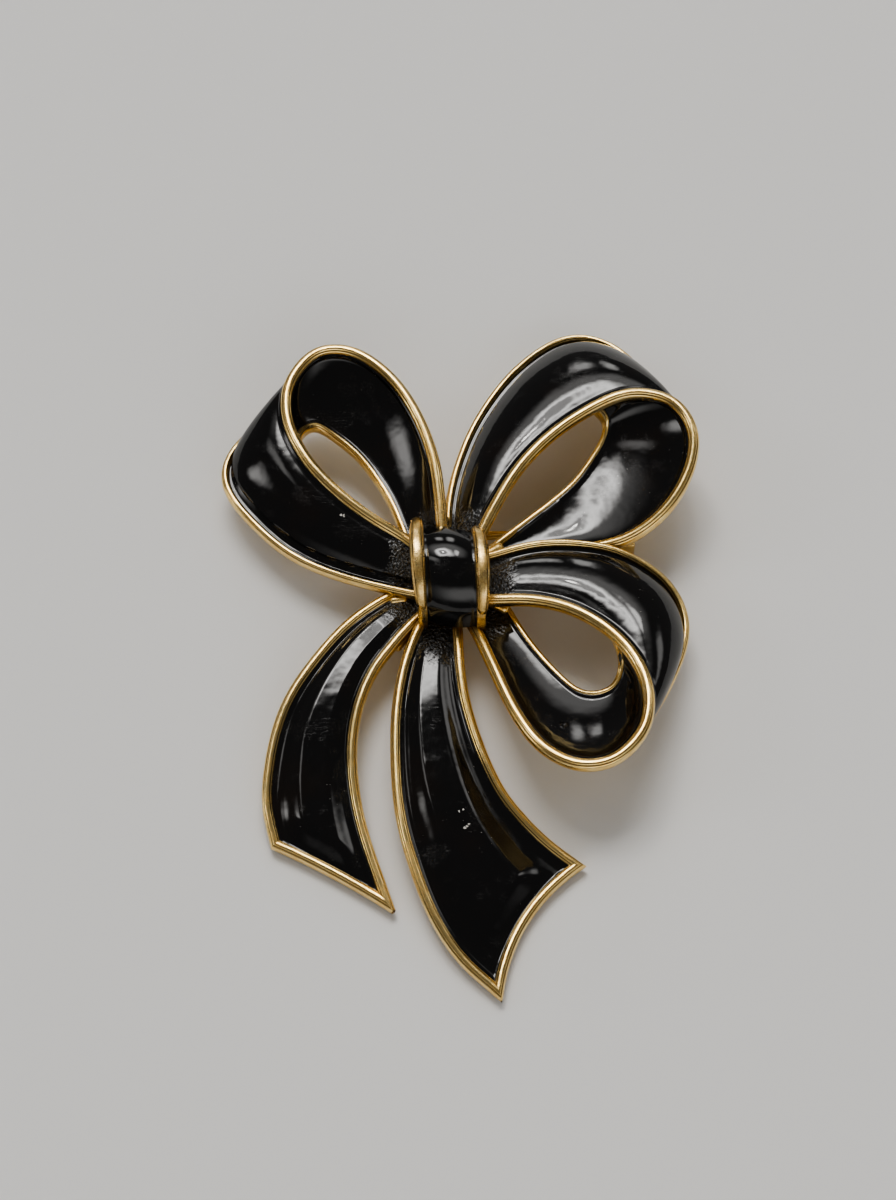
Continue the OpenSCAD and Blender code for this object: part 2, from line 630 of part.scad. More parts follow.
module upper_right_inner_enamel() {
    inner_enamel(UR_FRONT, UR_INNER, ur_reach, ur_aim, UR_INNER_START, UR_INNER_END);
}

module lower_right_outer_enamel() {
    outer_enamel(LR_FRONT, LR_OUTER, lr_reach, lr_aim, LR_OUTER_START);
}

module lower_right_inner_enamel() {
    inner_enamel(LR_FRONT, LR_INNER, lr_reach, lr_aim, LR_INNER_START, LR_INNER_END);
}

module left_tail_enamel() {
    tail_enamel(LEFT_TAIL, left_tail_len, left_tail_aim, LEFT_END_BOW, LEFT_TAIL_START);
}

module right_tail_enamel() {
    tail_enamel(RIGHT_TAIL, right_tail_len, right_tail_aim, RIGHT_END_BOW, RIGHT_TAIL_START);
}

module fitting(x) {
    translate([x - fitting_w / 2, -fitting_l / 2, 0])
        cube([fitting_w, fitting_l, fitting_h]);
}

module pin() {
    color(GILT)
        translate([knot_x + hinge_x, knot_y + stem_y, 0]) {
            fitting(0);
            fitting(pin_len);
            translate([0, 0, stem_h])
                rotate([0, 90, 0])
                    cylinder(d = stem_d, h = pin_len, $fn = STEM_SIDES);
        }
}

bow_frame();
knot_enamel();
upper_left_outer_enamel();
upper_left_inner_enamel();
upper_right_outer_enamel();
upper_right_inner_enamel();
lower_right_outer_enamel();
lower_right_inner_enamel();
left_tail_enamel();
right_tail_enamel();
pin();
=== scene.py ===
"""Ribbon bow brooch: gilt cast frame, glossy black enamel and a bar pin across the back."""
import math

import bmesh
import bpy
from mathutils import Matrix, Vector


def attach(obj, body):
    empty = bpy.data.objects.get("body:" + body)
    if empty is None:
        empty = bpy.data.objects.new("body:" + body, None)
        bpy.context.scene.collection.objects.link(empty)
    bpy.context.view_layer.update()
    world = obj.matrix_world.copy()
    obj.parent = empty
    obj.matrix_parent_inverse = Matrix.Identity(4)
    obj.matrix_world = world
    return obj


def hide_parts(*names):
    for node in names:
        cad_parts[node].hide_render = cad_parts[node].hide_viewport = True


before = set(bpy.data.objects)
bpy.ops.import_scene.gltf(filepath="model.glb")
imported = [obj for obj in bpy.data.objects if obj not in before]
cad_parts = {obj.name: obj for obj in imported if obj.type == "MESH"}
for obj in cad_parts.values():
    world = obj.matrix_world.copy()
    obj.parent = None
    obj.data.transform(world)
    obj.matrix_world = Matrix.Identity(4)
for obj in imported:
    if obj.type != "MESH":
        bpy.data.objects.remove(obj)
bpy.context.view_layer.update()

MM = 0.001
TAU = 2 * math.pi

# The same sizes as the solids have, in millimetres and degrees
FRONT_H, BACK_H = 7.2, 3.1
KNOT_X, KNOT_Y = -0.9, 5.2
FRONT_RIM, FRONT_RIM_T = 1.05, 1.3
BACK_RIM, BACK_RIM_T = 0.75, 1.2
TAIL_RIM = 0.95
PLATE_T, ENAMEL_T, LIFT = 0.45, 0.45, 0.25
OUTER_CROWN, INNER_HOLLOW, TAIL_CROWN = 0.11, 0.03, 0.09
TIP_H = 0.72
KNOT_W, KNOT_LEN, KNOT_H = 6.8, 9.0, 9.1
KNOT_TURN, KNOT_LEAN, KNOT_SHIFT = 7, 3, 0.3
KNOT_RIM, KNOT_RISE, KNOT_LEFT_EXTRA = 1.3, 0.4, 0.2
KNOT_ENAMEL_T = 0.7
STEM_D, PIN_LEN, STEM_Y, HINGE_X, STEM_H = 0.8, 27.9, 6.5, -12.8, 1.25
FITTING_L, FITTING_W, FITTING_H = 3.2, 2.2, 2.25
FULL_W = 4.0         # width from which a ribbon has its full thickness
END_PACE = 0.6       # pace at which the front rim is faced near an outer rim's end
SOLDER_GAP = 0.07    # gap between the pin's fittings and the solder over them
HOLLOW_GAIN = 1.8    # how much deeper than the solid's the inner faces are hollowed

# Rims of the loops: [along, aside, up] in hundredths of reach and of the height between back
# and front; a row of an outer rim ends with its share of the crown
LOOPS = {
    "upper_left": {
        "reach": 23.6, "aim": 124,
        "front": [
            [16, 1.5, 36], [24, 4, 43], [35.5, 10, 61], [50, 15, 75], [67, 17.5, 86],
            [84, 15, 93], [97.5, 6, 98], [103.5, -9.5, 100], [96, -21.5, 100],
            [79.5, -27, 97], [61, -26.5, 91], [42, -21.5, 82], [26, -13.5, 70], [13, -6, 52]],
        "outer": [
            [2, 9, 14, 60], [7, 14.5, 14, 60], [24, 28.5, 9, 90], [41, 38.5, 3, 100],
            [59, 43.5, 0, 100], [81.5, 44.5, 0, 80], [94, 33.5, 3, 40], [99.5, 6.5, 14, 20],
            [102.5, -11, 62, 0]],
        "inner": [
            [77, 16, 84], [82, 10, 52], [82.5, 4, 34], [76, 0, 20], [65, -3, 13],
            [54, -3.5, 9], [41.5, -2.5, 7], [29, 0.5, 7], [20, 3, 7]]},
    "upper_right": {
        "reach": 25.0, "aim": 40,
        "front": [
            [12.3, 3.4, 47], [20, 6.5, 57], [32, 11.5, 71], [45.5, 16, 82], [61, 18, 91],
            [78, 17, 96], [93, 12.5, 100], [102, 1, 100], [100, -12.5, 95],
            [89.5, -22.5, 82], [74, -28, 62], [58.5, -26.5, 35], [46, -19, 14],
            [33, -10.5, 7], [20, -3.5, 4], [10, 0, 4]],
        "outer": [
            [9, 12.5, 16, 60], [14.5, 18, 14, 60], [22, 26, 9, 80], [34.5, 36, 4, 100],
            [52.4, 46.1, 0, 100], [76.2, 53.1, 0, 100], [99.1, 51.3, 0, 80], [109.6, 35, 1, 40],
            [105.5, 7, 22, 20], [99.5, -13, 60, 0]],
        "inner": [
            [81, 17, 88], [83, 13.5, 48], [79.5, 9.5, 28], [70, 6, 15], [60, 3.5, 9],
            [49.5, 3, 4], [40, 3, 2], [30, 3, 1], [21, 3, 0], [12, 3, 0]]},
    "lower_right": {
        "reach": 22.5, "aim": -42,
        "front": [
            [12, -1, 46], [19.5, 4.5, 57], [30.5, 13, 68], [44, 19, 79], [59.5, 21, 88],
            [75, 18.5, 95], [88.5, 11, 98], [97.5, -2, 98], [97.5, -18, 95],
            [88.5, -28.5, 89], [73, -31, 77], [55, -25.5, 61], [36.5, -16, 43],
            [22.5, -8.5, 24], [12, -3.5, 5]],
        "outer": [
            [-1, 11, 38, 60], [4.5, 18.5, 40, 60], [13, 32.5, 40, 80], [25, 44.5, 38, 100],
            [40.5, 54, 30, 100], [61, 56.8, 14, 100], [78, 47.5, 4, 60], [88.5, 24.5, 11, 30],
            [96, -5.5, 60, 0]],
        "inner": [
            [65, 20.5, 84], [71.2, 17.8, 45], [74.8, 10, 25], [72, 3, 17], [65, -1, 12],
            [54.5, -0.5, 9], [43, 1.5, 7], [32, 4.5, 7], [21, 8.5, 7], [12, 11, 7]]}}

# Rims of the tails: [along, aside, up] of the left rim, then of the right rim, in hundredths
# of the tail's length and of the height from its tip to the back rims
TAILS = {
    "left_tail": {
        "length": 27.0, "aim": -115, "bow": 0.2,
        "rows": [
            [4, -12, 84, 9, -3, 100], [12, -17.5, 98, 16, -5.5, 108],
            [24, -23.5, 100, 27, -8, 108], [39, -27.5, 92, 38, -9.5, 100],
            [55, -29.5, 76, 51.5, -8, 88], [70, -27.5, 56, 66, -2.5, 66],
            [87, -21.5, 28, 82.5, 8.5, 34], [98.4, -12.8, 0, 101.4, 26.6, 0]]},
    "right_tail": {
        "length": 36.0, "aim": -80, "bow": 1.3,
        "rows": [
            [3, -4, 108, 4, 0.5, 108], [8.5, -8.5, 108, 11, 0, 108],
            [17.5, -13.5, 108, 19, -1, 108], [29, -17.5, 104, 27, -1.5, 104],
            [42.5, -20, 92, 35.5, -1, 92], [55, -21, 80, 45, 0.5, 80],
            [67, -20, 60, 53.5, 3, 60], [79.5, -17.5, 36, 60.5, 7, 36],
            [90, -13, 14, 66.5, 11.5, 14], [98.8, -6.3, 0, 72.2, 16.9, 0]]}}

# Webs beside the knot: [x, y, z] of one end and of the other, x and y from the knot's middle,
# and the thickness
WEBS = [
    [-0.5, 4.6, 4.0, -0.5, 6.4, 3.8, 1.3], [-3.9, -0.85, 3.1, -4.8, -0.95, 3.0, 0.8],
    [-2.9, -3.2, 3.1, -4.4, -5.2, 2.8, 0.9], [1.9, -3.2, 3.1, 2.3, -3.8, 3.1, 1.0],
    [3.2, -1.4, 3.9, 4.7, -2.2, 3.9, 0.8], [3.3, 3.0, 4.0, 4.2, 3.7, 3.8, 1.2]]
HINGE_PAD_TOP, CATCH_PAD_TOP = 4.2, 3.7  # heights to which the solder over the pin reaches

STATIONS = 30        # sections between two rows of a table
SMOOTH_PASSES = 70   # passes that even out the rows
NORMAL_PASSES = 60   # passes that even out a ribbon's face normals
UP = Vector((0, 0, 1))


# Curves

def row_at(rows, i):
    """A row of a table, carried on straight past both ends."""
    last = len(rows) - 1
    if i < 0:
        return [2 * a - b for a, b in zip(rows[0], rows[1])]
    if i > last:
        return [2 * a - b for a, b in zip(rows[last], rows[last - 1])]
    return rows[i]


def smooth_row(rows, u):
    """Smooth curve through the rows, at row number u."""
    i = min(int(u), len(rows) - 2)
    f = u - i
    four = zip(row_at(rows, i - 1), rows[i], rows[i + 1], row_at(rows, i + 2))
    return [b + f * (c - a) / 2 + f * f * (a - 2.5 * b + 2 * c - d / 2)
            + f ** 3 * (1.5 * (b - c) + (d - a) / 2) for a, b, c, d in four]


def from_knot(along, aside, aim, height):
    """A place along a direction that leaves the knot, and aside of it."""
    c, s = math.cos(math.radians(aim)), math.sin(math.radians(aim))
    return Vector((KNOT_X + along * c - aside * s, KNOT_Y + along * s + aside * c, height))


def loop_place(row, loop):
    """The place that a row of a loop's table gives."""
    scale = loop["reach"] / 100
    height = BACK_H + row[2] / 100 * (FRONT_H - BACK_H)
    return from_knot(row[0] * scale, row[1] * scale, loop["aim"], height)


def tail_place(along, aside, up, tail):
    """The place that one half of a row of a tail's table gives."""
    scale = tail["length"] / 100
    return from_knot(along * scale, aside * scale, tail["aim"], TIP_H + up / 100 * (BACK_H - TIP_H))


def evened(points, passes=SMOOTH_PASSES):
    """The same points with small unevenness taken out; the two ends stay."""
    for _ in range(passes):
        points = [points[0]] + [
            (points[i - 1] + points[i] * 2 + points[i + 1]) / 4
            for i in range(1, len(points) - 1)] + [points[-1]]
    return points


def spread(a, b, n):
    """The numbers from a to b in n equal steps."""
    return [a + (b - a) * k / n for k in range(n + 1)]


def ways(path):
    """Unit directions along a path, one at each point."""
    last = len(path) - 1
    return [(path[min(i + 1, last)] - path[max(i - 1, 0)]).normalized() for i in range(last + 1)]


def lengths(path):
    """Length along the path up to each point."""
    out = [0.0]
    for a, b in zip(path, path[1:]):
        out.append(out[-1] + (b - a).length)
    return out


def ramp(x, low, high):
    """Smooth rise from 0 at low to 1 at high."""
    t = min(max((x - low) / (high - low), 0.0), 1.0)
    return t * t * (3 - 2 * t)


def arch(share):
    """Height of a flat arch of height 1 at a share of its span."""
    return 4 * share * (1 - share)


# Pieces

SHARP_ANGLE = math.radians(40)  # edges over this angle stay sharp in the shading


def add_piece(name, bm, material, nodes):
    """A finished mesh in metres from a bmesh in millimetres, with everything a piece needs."""
    bmesh.ops.scale(bm, vec=(MM, MM, MM), verts=bm.verts)
    bmesh.ops.recalc_face_normals(bm, faces=bm.faces)
    for face in bm.faces:
        face.smooth = True
    mesh = bpy.data.meshes.new(name)
    bm.to_mesh(mesh)
    bm.free()
    mesh.set_sharp_from_angle(angle=SHARP_ANGLE)
    piece = bpy.data.objects.new(name, mesh)
    bpy.context.collection.objects.link(piece)
    mesh.materials.append(material)
    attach(piece, "root")
    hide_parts(*nodes)


def add_metal(name, bm, material):
    """A piece of the cast frame."""
    add_piece(name, bm, material, ["bow_frame"])


def bent_tube(rings, sides, place, length_at):
    """A closed tube of so many rings and sides, every corner moved to place(ring, side).
    Its UV map lay has millimetres along the tube and the share of the way round."""
    bm = bmesh.new()
    bmesh.ops.create_cone(bm, cap_ends=True, segments=sides, radius1=1, radius2=1, depth=1)
    upright = [e for e in bm.edges if abs(e.verts[0].co.z - e.verts[1].co.z) > 0.5]
    bmesh.ops.subdivide_edges(bm, edges=upright, cuts=rings - 2, use_grid_fill=True)
    numbers = {}
    for v in bm.verts:
        ring = round((v.co.z + 0.5) * (rings - 1))
        side = round(math.atan2(v.co.y, v.co.x) / TAU * sides) % sides
        numbers[v] = (ring, side)
    for v, (ring, side) in numbers.items():
        v.co = place(ring, side)
    lay = bm.loops.layers.uv.new("lay")
    for face in bm.faces:
        shares = [numbers[loop.vert][1] / sides for loop in face.loops]
        wraps = max(shares) - min(shares) > 0.5
        for loop, share in zip(face.loops, shares):
            if wraps and share < 0.5:
                share += 1
            loop[lay].uv = (length_at[numbers[loop.vert][0]], share)
    return bm


# Grooves along a rim: [place round it in radians, depth as a share of its thickness]
GROOVES = [[0.95, 0.085], [2.19, 0.085], [0.15, 0.03], [2.99, 0.03]]
TARNISHED = 2        # how many of the grooves, from the first, hold a dark line
GROOVE_WIDTH = 0.11
CUT_REACH = 4.0      # how near a rim's end its cuts count
MERGE = 0.002        # corners of a cut end that lie closer than this become one


def rim_tube(path, width, depth, sides=40, swell=None, grooved=True, cuts=()):
    """An oval rim along a path, upright to the floor, with fine grooves along it. Each cut is a
    plane, a place and the way out of the rim, up to which the rim runs."""
    along = ways(path)
    swell = swell or [1.0] * len(path)

    def place(ring, side):
        angle = TAU * side / sides
        way = along[ring]
        aside = UP.cross(way).normalized()
        above = way.cross(aside)
        radius = swell[ring]
        if grooved:
            for at, deep in GROOVES:
                radius -= swell[ring] * deep * math.exp(-((angle - at) / GROOVE_WIDTH) ** 2)
        point = (path[ring] + aside * (width / 2 * radius * math.cos(angle))
                 + above * (depth / 2 * radius * math.sin(angle)))
        for at, out in cuts:
            over = (point - at).dot(out)
            if over > 0 and (path[ring] - at).length < CUT_REACH:
                point -= way * (over / way.dot(out))
        return point
    bm = bent_tube(len(path), sides, place, lengths(path))
    if cuts:
        bmesh.ops.remove_doubles(bm, verts=bm.verts, dist=MERGE)
    return bm


LEAST_SWELL = 0.02   # share of a rim's thickness that is left at a rounded end


def rounded_ends(path, reach):
    """Shares of a rim's thickness that round off both ends."""
    run = lengths(path)
    out = []
    for x in run:
        t = min(min(run[-1] - x, x) / reach, 1.0)
        out.append(max(math.sqrt(max(1 - (1 - t) ** 2, 0.0)), LEAST_SWELL))
    return out


LEAST_WIDTH = 1e-4   # width that a ribbon keeps where its rims meet
LEAST_CLEAR = 0.02   # share of its width that stays clear of the rims


def ribbon(a_rim, b_rim, side, a_half, b_half, bows=None):
    """Sections of a ribbon between two rims. Each has its start, its way across, its width, its
    face's normal, the width clear of the rims, where that starts, its bow and its thinning."""
    a_way, b_way = ways(a_rim), ways(b_rim)
    out = []
    for i, (a, b) in enumerate(zip(a_rim, b_rim)):
        width = max((b - a).length, LEAST_WIDTH)
        across = (b - a) / width
        normal = side * (a_way[i] + b_way[i]).normalized().cross(across).normalized()
        out.append([a, across, width, normal])
    normals = evened([row[3] for row in out], NORMAL_PASSES)
    rows = []
    for i, (a, across, width, _) in enumerate(out):
        clear = max(width - a_half - b_half, LEAST_CLEAR * width)
        first = (width - clear) * a_half / (a_half + b_half)
        rows.append({"start": a, "across": across, "width": width,
                     "normal": normals[i].normalized(), "clear": clear, "first": first,
                     "bow": bows[i] if bows else Vector(), "thin": min(1, (width / FULL_W) ** 2)})
    return rows


def on_ribbon(row, share, height):
    """A point of a ribbon at a share of its clear width, at a height over the rims' line."""
    x = row["first"] + row["clear"] * share
    return (row["start"] + row["across"] * x + row["bow"] * arch(x / row["width"])
            + row["normal"] * height)


LEDGE = 0.8          # width of the flat ledge beside a back rim
LEDGE_SHARE = 0.24   # most of the clear width that the ledge takes
LEDGE_DROP = 0.4     # how far that ledge lies under the enamel's edge at the front rim
STEP_W = 0.16        # width of the rounded step over that ledge
DOME_END = 0.93      # share of the dome that is reached at the step
DOME_POWER = 2.3     # how full the dome is
MENISCUS = 0.16      # height to which the enamel creeps up a rim
CREEP = 0.14         # width of that creep


def outer_height(row, share, crown):
    """Domed outer face with a crisp step down to a ledge beside the back rim."""
    clear = row["clear"]
    ledge = min(LEDGE, LEDGE_SHARE * clear)
    edge = 1 - ledge / clear
    inside = min(share / edge, 1.0)
    dome = max(1 - abs(2 * inside * DOME_END - 1) ** DOME_POWER, 0.0)
    foot = ramp(share, edge - STEP_W / clear, edge)
    height = LIFT + crown * row["width"] * dome * (1 - foot) - LEDGE_DROP * foot
    return (height + creep(share * clear, clear)) * row["thin"]


def creep(x, clear):
    """Rise of the enamel's skin where it meets the rim on either side."""
    near = min(x, clear - x)
    return MENISCUS * math.exp(-(max(near, 0) / CREEP) ** 2)


def inner_height(row, share, _):
    """Slightly hollow inner face, which has no crown."""
    hollow = 1 - abs(2 * min(max(share, 0.0), 1.0) - 1) ** 2
    height = LIFT - HOLLOW_GAIN * INNER_HOLLOW * row["width"] * hollow
    return (height + creep(share * row["clear"], row["clear"])) * row["thin"]


SHOULDER = 0.15       # share of a tail's width from its rim to the middle of its shoulder
SHOULDER_DROP = 0.12  # how far the enamel beside the rims lies under its lift
SHOULDER_RISE = 0.1   # how far the shoulder lies over that
LINE_START, LINE_END = SHOULDER - 0.1, SHOULDER - 0.03    # shares where the shoulder rises
DOME_START, DOME_FULL = SHOULDER - 0.07, SHOULDER + 0.2   # shares where the dome rises
DOME_SHARE = 0.95     # how much of the crown's height the dome gets


def tail_height(row, share, crown_and_lip):
    """Domed middle of a tail between two low shoulders, with a lip at the cut end."""
    crown, lip = crown_and_lip
    clear = row["clear"]
    near = min(share, 1 - share)
    rise = ramp(near, DOME_START, DOME_FULL)
    line = ramp(near, LINE_START, LINE_END)
    height = (LIFT - SHOULDER_DROP + SHOULDER_RISE * line
              + crown * row["width"] * DOME_SHARE * rise)
    return (height + max(creep(share * clear, clear), lip)) * row["thin"]


ACROSS, UNDER = 64, 10  # sections of the enamel's skin from rim to rim, and of its underside
PLATE_ACROSS = 28       # sections of the metal under it
TUCK = 0.2              # how far the enamel runs under each rim
PLATE_SINK = 0.35       # depth of the metal's top under the enamel's skin
PLATE_SHIFT = 0.42      # how far the metal's underside is raised, as that metal starts higher
PLATE_EDGE_W = 0.9      # width over which the metal thins towards the rims
PLATE_EDGE_T = 0.45     # share of its thickness that it has at the rims


def enamel_tube(rows, height, crowns):
    """Layer of enamel over the rows of a ribbon."""
    sides = ACROSS + 1 + UNDER
    run = lengths([on_ribbon(r, 0.5, 0) for r in rows])

    def place(ring, side):
        row = rows[ring]
        tuck = min(TUCK / row["clear"], 0.5)
        if side <= ACROSS:
            share = side / ACROSS * (1 + 2 * tuck) - tuck
            return on_ribbon(row, share, height(row, share, crowns[ring]))
        share = 1 + tuck - (side - ACROSS - 1) / (UNDER - 1) * (1 + 2 * tuck)
        top = height(row, min(max(share, 0), 1), crowns[ring])
        return on_ribbon(row, share, top - ENAMEL_T * row["thin"])
    return bent_tube(len(rows), sides, place, run)


def plate_tube(rows, height, crowns):
    """Cast metal under the enamel, from the middle of one rim to the middle of the other."""
    sides = 2 * (PLATE_ACROSS + 1)
    run = lengths([on_ribbon(r, 0.5, 0) for r in rows])

    def place(ring, side):
        row = rows[ring]
        low = side > PLATE_ACROSS
        part = (sides - 1 - side if low else side) / PLATE_ACROSS
        x = part * row["width"]
        share = (x - row["first"]) / row["clear"]
        inside = min(max(share, 0.0), 1.0)
        top = height(row, inside, crowns[ring]) - PLATE_SINK * row["thin"]
        edge = ramp(min(part, 1 - part) * row["width"], 0, PLATE_EDGE_W)
        thinned = PLATE_EDGE_T + (1 - PLATE_EDGE_T) * edge
        down = top - (ENAMEL_T + PLATE_T - PLATE_SHIFT) * row["thin"] * thinned
        level = (down if low else top) - LIFT * (1 - edge) * row["thin"]
        return (row["start"] + row["across"] * x + row["bow"] * arch(part)
                + row["normal"] * level)
    return bent_tube(len(rows), sides, place, run)


# Materials

def new_group(name, inputs, outputs):
    """A node group with number sockets: names and values of its inputs, names of its outputs."""
    group = bpy.data.node_groups.new(name, "ShaderNodeTree")
    for title, value in inputs.items():
        socket = group.interface.new_socket(title, in_out="INPUT", socket_type="NodeSocketFloat")
        socket.default_value = value
    for title in outputs:
        group.interface.new_socket(title, in_out="OUTPUT", socket_type="NodeSocketFloat")
    return group, group.nodes.new("NodeGroupInput"), group.nodes.new("NodeGroupOutput")


class Nodes:
    """Short ways to add and join nodes of one tree."""

    def __init__(self, tree):
        self.tree = tree

    def add(self, kind, **values):
        node = self.tree.nodes.new(kind)
        for key, value in values.items():
            setattr(node, key, value)
        return node

    def link(self, a, b):
        self.tree.links.new(a, b)

    def put(self, socket, value):
        """Feeds a socket with a constant or with what another node gives."""
        if hasattr(value, "is_output"):
            self.link(value, socket)
        else:
            socket.default_value = value

    def math(self, operation, a, b=0.0, clamp=False):
        node = self.add("ShaderNodeMath", operation=operation, use_clamp=clamp)
        self.put(node.inputs[0], a)
        self.put(node.inputs[1], b)
        return node.outputs[0]

    def ramp(self, value, low, high, to_low=0.0, to_high=1.0):
        """Smooth change from to_low where the value is low to to_high where it is high."""
        node = self.add("ShaderNodeMapRange", interpolation_type="SMOOTHSTEP")
        for socket, number in zip(node.inputs, (value, low, high, to_low, to_high)):
            self.put(socket, number)
        return node.outputs[0]

    def noise(self, vector, scale, detail=2.0, rough=0.5):
        node = self.add("ShaderNodeTexNoise")
        self.put(node.inputs["Vector"], vector)
        self.put(node.inputs["Scale"], scale)
        node.inputs["Detail"].default_value = detail
        node.inputs["Roughness"].default_value = rough
        return node.outputs["Fac"]

    def cells(self, vector, scale):
        node = self.add("ShaderNodeTexVoronoi", feature="F1")
        self.put(node.inputs["Vector"], vector)
        self.put(node.inputs["Scale"], scale)
        return node.outputs["Distance"]

    def moved(self, vector, scale=(1, 1, 1), place=(0, 0, 0), turn=(0, 0, 0)):
        node = self.add("ShaderNodeMapping")
        self.put(node.inputs["Vector"], vector)
        node.inputs["Location"].default_value = place
        node.inputs["Rotation"].default_value = turn
        node.inputs["Scale"].default_value = scale
        return node.outputs[0]

    def blend(self, share, a, b):
        node = self.add("ShaderNodeMix", data_type="RGBA")
        self.put(node.inputs["Factor"], share)
        self.put(node.inputs["A"], a)
        self.put(node.inputs["B"], b)
        return node.outputs["Result"]

    def bump(self, height, distance, strength=1.0, normal=None):
        node = self.add("ShaderNodeBump")
        node.inputs["Strength"].default_value = strength
        node.inputs["Distance"].default_value = distance
        self.put(node.inputs["Height"], height)
        if normal is not None:
            self.link(normal, node.inputs["Normal"])
        return node.outputs[0]

    def times(self, a, b):
        return self.math("MULTIPLY", a, b)

    def plus(self, a, b, clamp=False):
        return self.math("ADD", a, b, clamp)

    def vector(self, operation, a, b):
        node = self.add("ShaderNodeVectorMath", operation=operation)
        self.put(node.inputs[0], a)
        self.put(node.inputs[1], b)
        return node.outputs[0] if operation == "MULTIPLY" else node.outputs["Value"]

    def where(self):
        """Place on the object in millimetres."""
        place = self.add("ShaderNodeTexCoord").outputs["Object"]
        return self.moved(place, scale=(1 / MM, 1 / MM, 1 / MM))


ACROSS_KNOT = 1.3   # how much sooner the rough places end to the knot's left and right
EDGE_WOBBLE = 1.6   # how far their edge wanders


def near_knot_group():
    """Mask of the rough cast places round the knot."""
    group, given, out = new_group("near_knot", {"Reach": 6.0, "Fade": 1.0}, ["Mask"])
    n = Nodes(group)
    place = n.where()
    flat = n.vector("MULTIPLY", place, (ACROSS_KNOT, 1, 0))
    away = n.vector("DISTANCE", flat, (KNOT_X * ACROSS_KNOT, KNOT_Y, 0))
    wobble = n.times(n.math("SUBTRACT", n.noise(place, 0.7, 2), 0.5), EDGE_WOBBLE)
    distance = n.plus(away, wobble)
    inner = n.math("SUBTRACT", given.outputs["Reach"], given.outputs["Fade"])
    n.link(n.ramp(distance, inner, given.outputs["Reach"], 1.0, 0.0), out.inputs["Mask"])
    return group


# Sets of scratches: which way they run, and how thin they are
SCRATCHES = [((0.3, 0.1, 0.5), 9.0), ((0.2, -0.2, 2.1), 7.0), ((0, 0.3, 1.2), 11.0)]
SCRATCH_LENGTH = 0.16   # the smaller, the longer the scratches are
SCRATCH_WIDTH = 0.004   # the smaller, the finer the scratches are
SPECK_SCALE = 2.3       # specks in a millimetre
FEWEST_SPECKS = 0.25    # share of the specks' size where there is least dust


def dust_group():
    """Scattered specks and hair-thin scratches."""
    group, given, out = new_group("dust_and_scratches", {"Specks": 0.05, "Scratches": 0.5},
                                  ["Speck", "Scratch"])
    n = Nodes(group)
    place = n.where()
    fine = n.cells(place, SPECK_SCALE)
    patch = n.ramp(n.noise(place, 0.22, 3), 0.45, 0.7)
    size = n.times(given.outputs["Specks"], n.plus(patch, FEWEST_SPECKS))
    n.link(n.math("LESS_THAN", fine, size), out.inputs["Speck"])
    total = None
    for turn, stretch in SCRATCHES:
        drawn_out = n.moved(place, scale=(SCRATCH_LENGTH, stretch, stretch), turn=turn)
        lines = n.noise(drawn_out, 1.0, 2, 0.6)
        off = n.math("ABSOLUTE", n.math("SUBTRACT", lines, 0.5))
        thin = n.ramp(off, 0.0, SCRATCH_WIDTH, 1.0, 0.0)
        here = n.ramp(n.noise(n.moved(place, place=(stretch, 3, 0)), 0.35, 2), 0.6, 0.66)
        one = n.times(thin, here)
        total = one if total is None else n.math("MAXIMUM", total, one)
    n.link(n.times(total, given.outputs["Scratches"]), out.inputs["Scratch"])
    return group


# White flecks on the enamel and a small crater in it: x, y, z and radius in millimetres
FLECKS = [(0.38, -16.87, 3.11, 0.11), (0.55, -16.74, 3.13, 0.1), (0.7, -16.55, 3.15, 0.08),
          (-0.08, -15.49, 3.28, 0.08), (0.25, -15.3, 3.28, 0.07), (-10.18, 11.05, 6.02, 0.11),
          (-9.98, 10.97, 6.0, 0.09), (13.61, 16.21, 4.45, 0.11), (-10.27, 22.01, 4.99, 0.09)]
CRATER = (8.67, -8.33, 5.1, 0.34)
CRATER_WALL = 0.14   # width of the crater's wall


def marks_group():
    """A few white flecks and one crater at chosen places."""
    group, given, out = new_group("marks", {"Wobble": 0.35}, ["Fleck", "Crater"])
    n = Nodes(group)
    place = n.where()
    wobble = n.times(n.math("SUBTRACT", n.noise(place, 7.0, 2), 0.5), given.outputs["Wobble"])
    total = None
    for x, y, z, radius in FLECKS:
        away = n.plus(n.vector("DISTANCE", place, (x, y, z)), wobble)
        one = n.math("LESS_THAN", away, radius)
        total = one if total is None else n.math("MAXIMUM", total, one)
    n.link(total, out.inputs["Fleck"])
    away = n.vector("DISTANCE", place, CRATER[:3])
    off = n.math("ABSOLUTE", n.math("SUBTRACT", away, CRATER[3]))
    n.link(n.ramp(off, 0.0, CRATER_WALL, 1.0, 0.0), out.inputs["Crater"])
    return group


def place_group(n, group, **values):
    """The outputs of a group put into a material with these values."""
    node = n.add("ShaderNodeGroup")
    node.node_tree = group
    for key, value in values.items():
        node.inputs[key].default_value = value
    return node.outputs


NEAR_KNOT = near_knot_group()
DUST = dust_group()
MARKS = marks_group()


def new_material(name):
    """A material, the means to add to its nodes, and the inputs of its shader."""
    material = bpy.data.materials.new(name)
    material.use_nodes = True
    tree = material.node_tree
    return material, Nodes(tree), tree.nodes["Principled BSDF"].inputs


# The warm black is painted reflection: faint warm reflections laid into the enamel's black
BLACK, WARM_REFLECTION_BLACK = (0.0045, 0.0042, 0.0045, 1), (0.008, 0.005, 0.0038, 1)
GRIME, CRUMB = (0.018, 0.013, 0.009, 1), (0.22, 0.19, 0.15, 1)
SPECK, SCRATCH, FLECK = (0.5, 0.48, 0.44, 1), (0.3, 0.28, 0.25, 1), (0.62, 0.6, 0.56, 1)
ENAMEL_IOR = 1.55
ENAMEL_SHINE = 0.55
PIT_MIDDLE = 0.85    # mean of the pits' pattern, so that they stay level with the skin


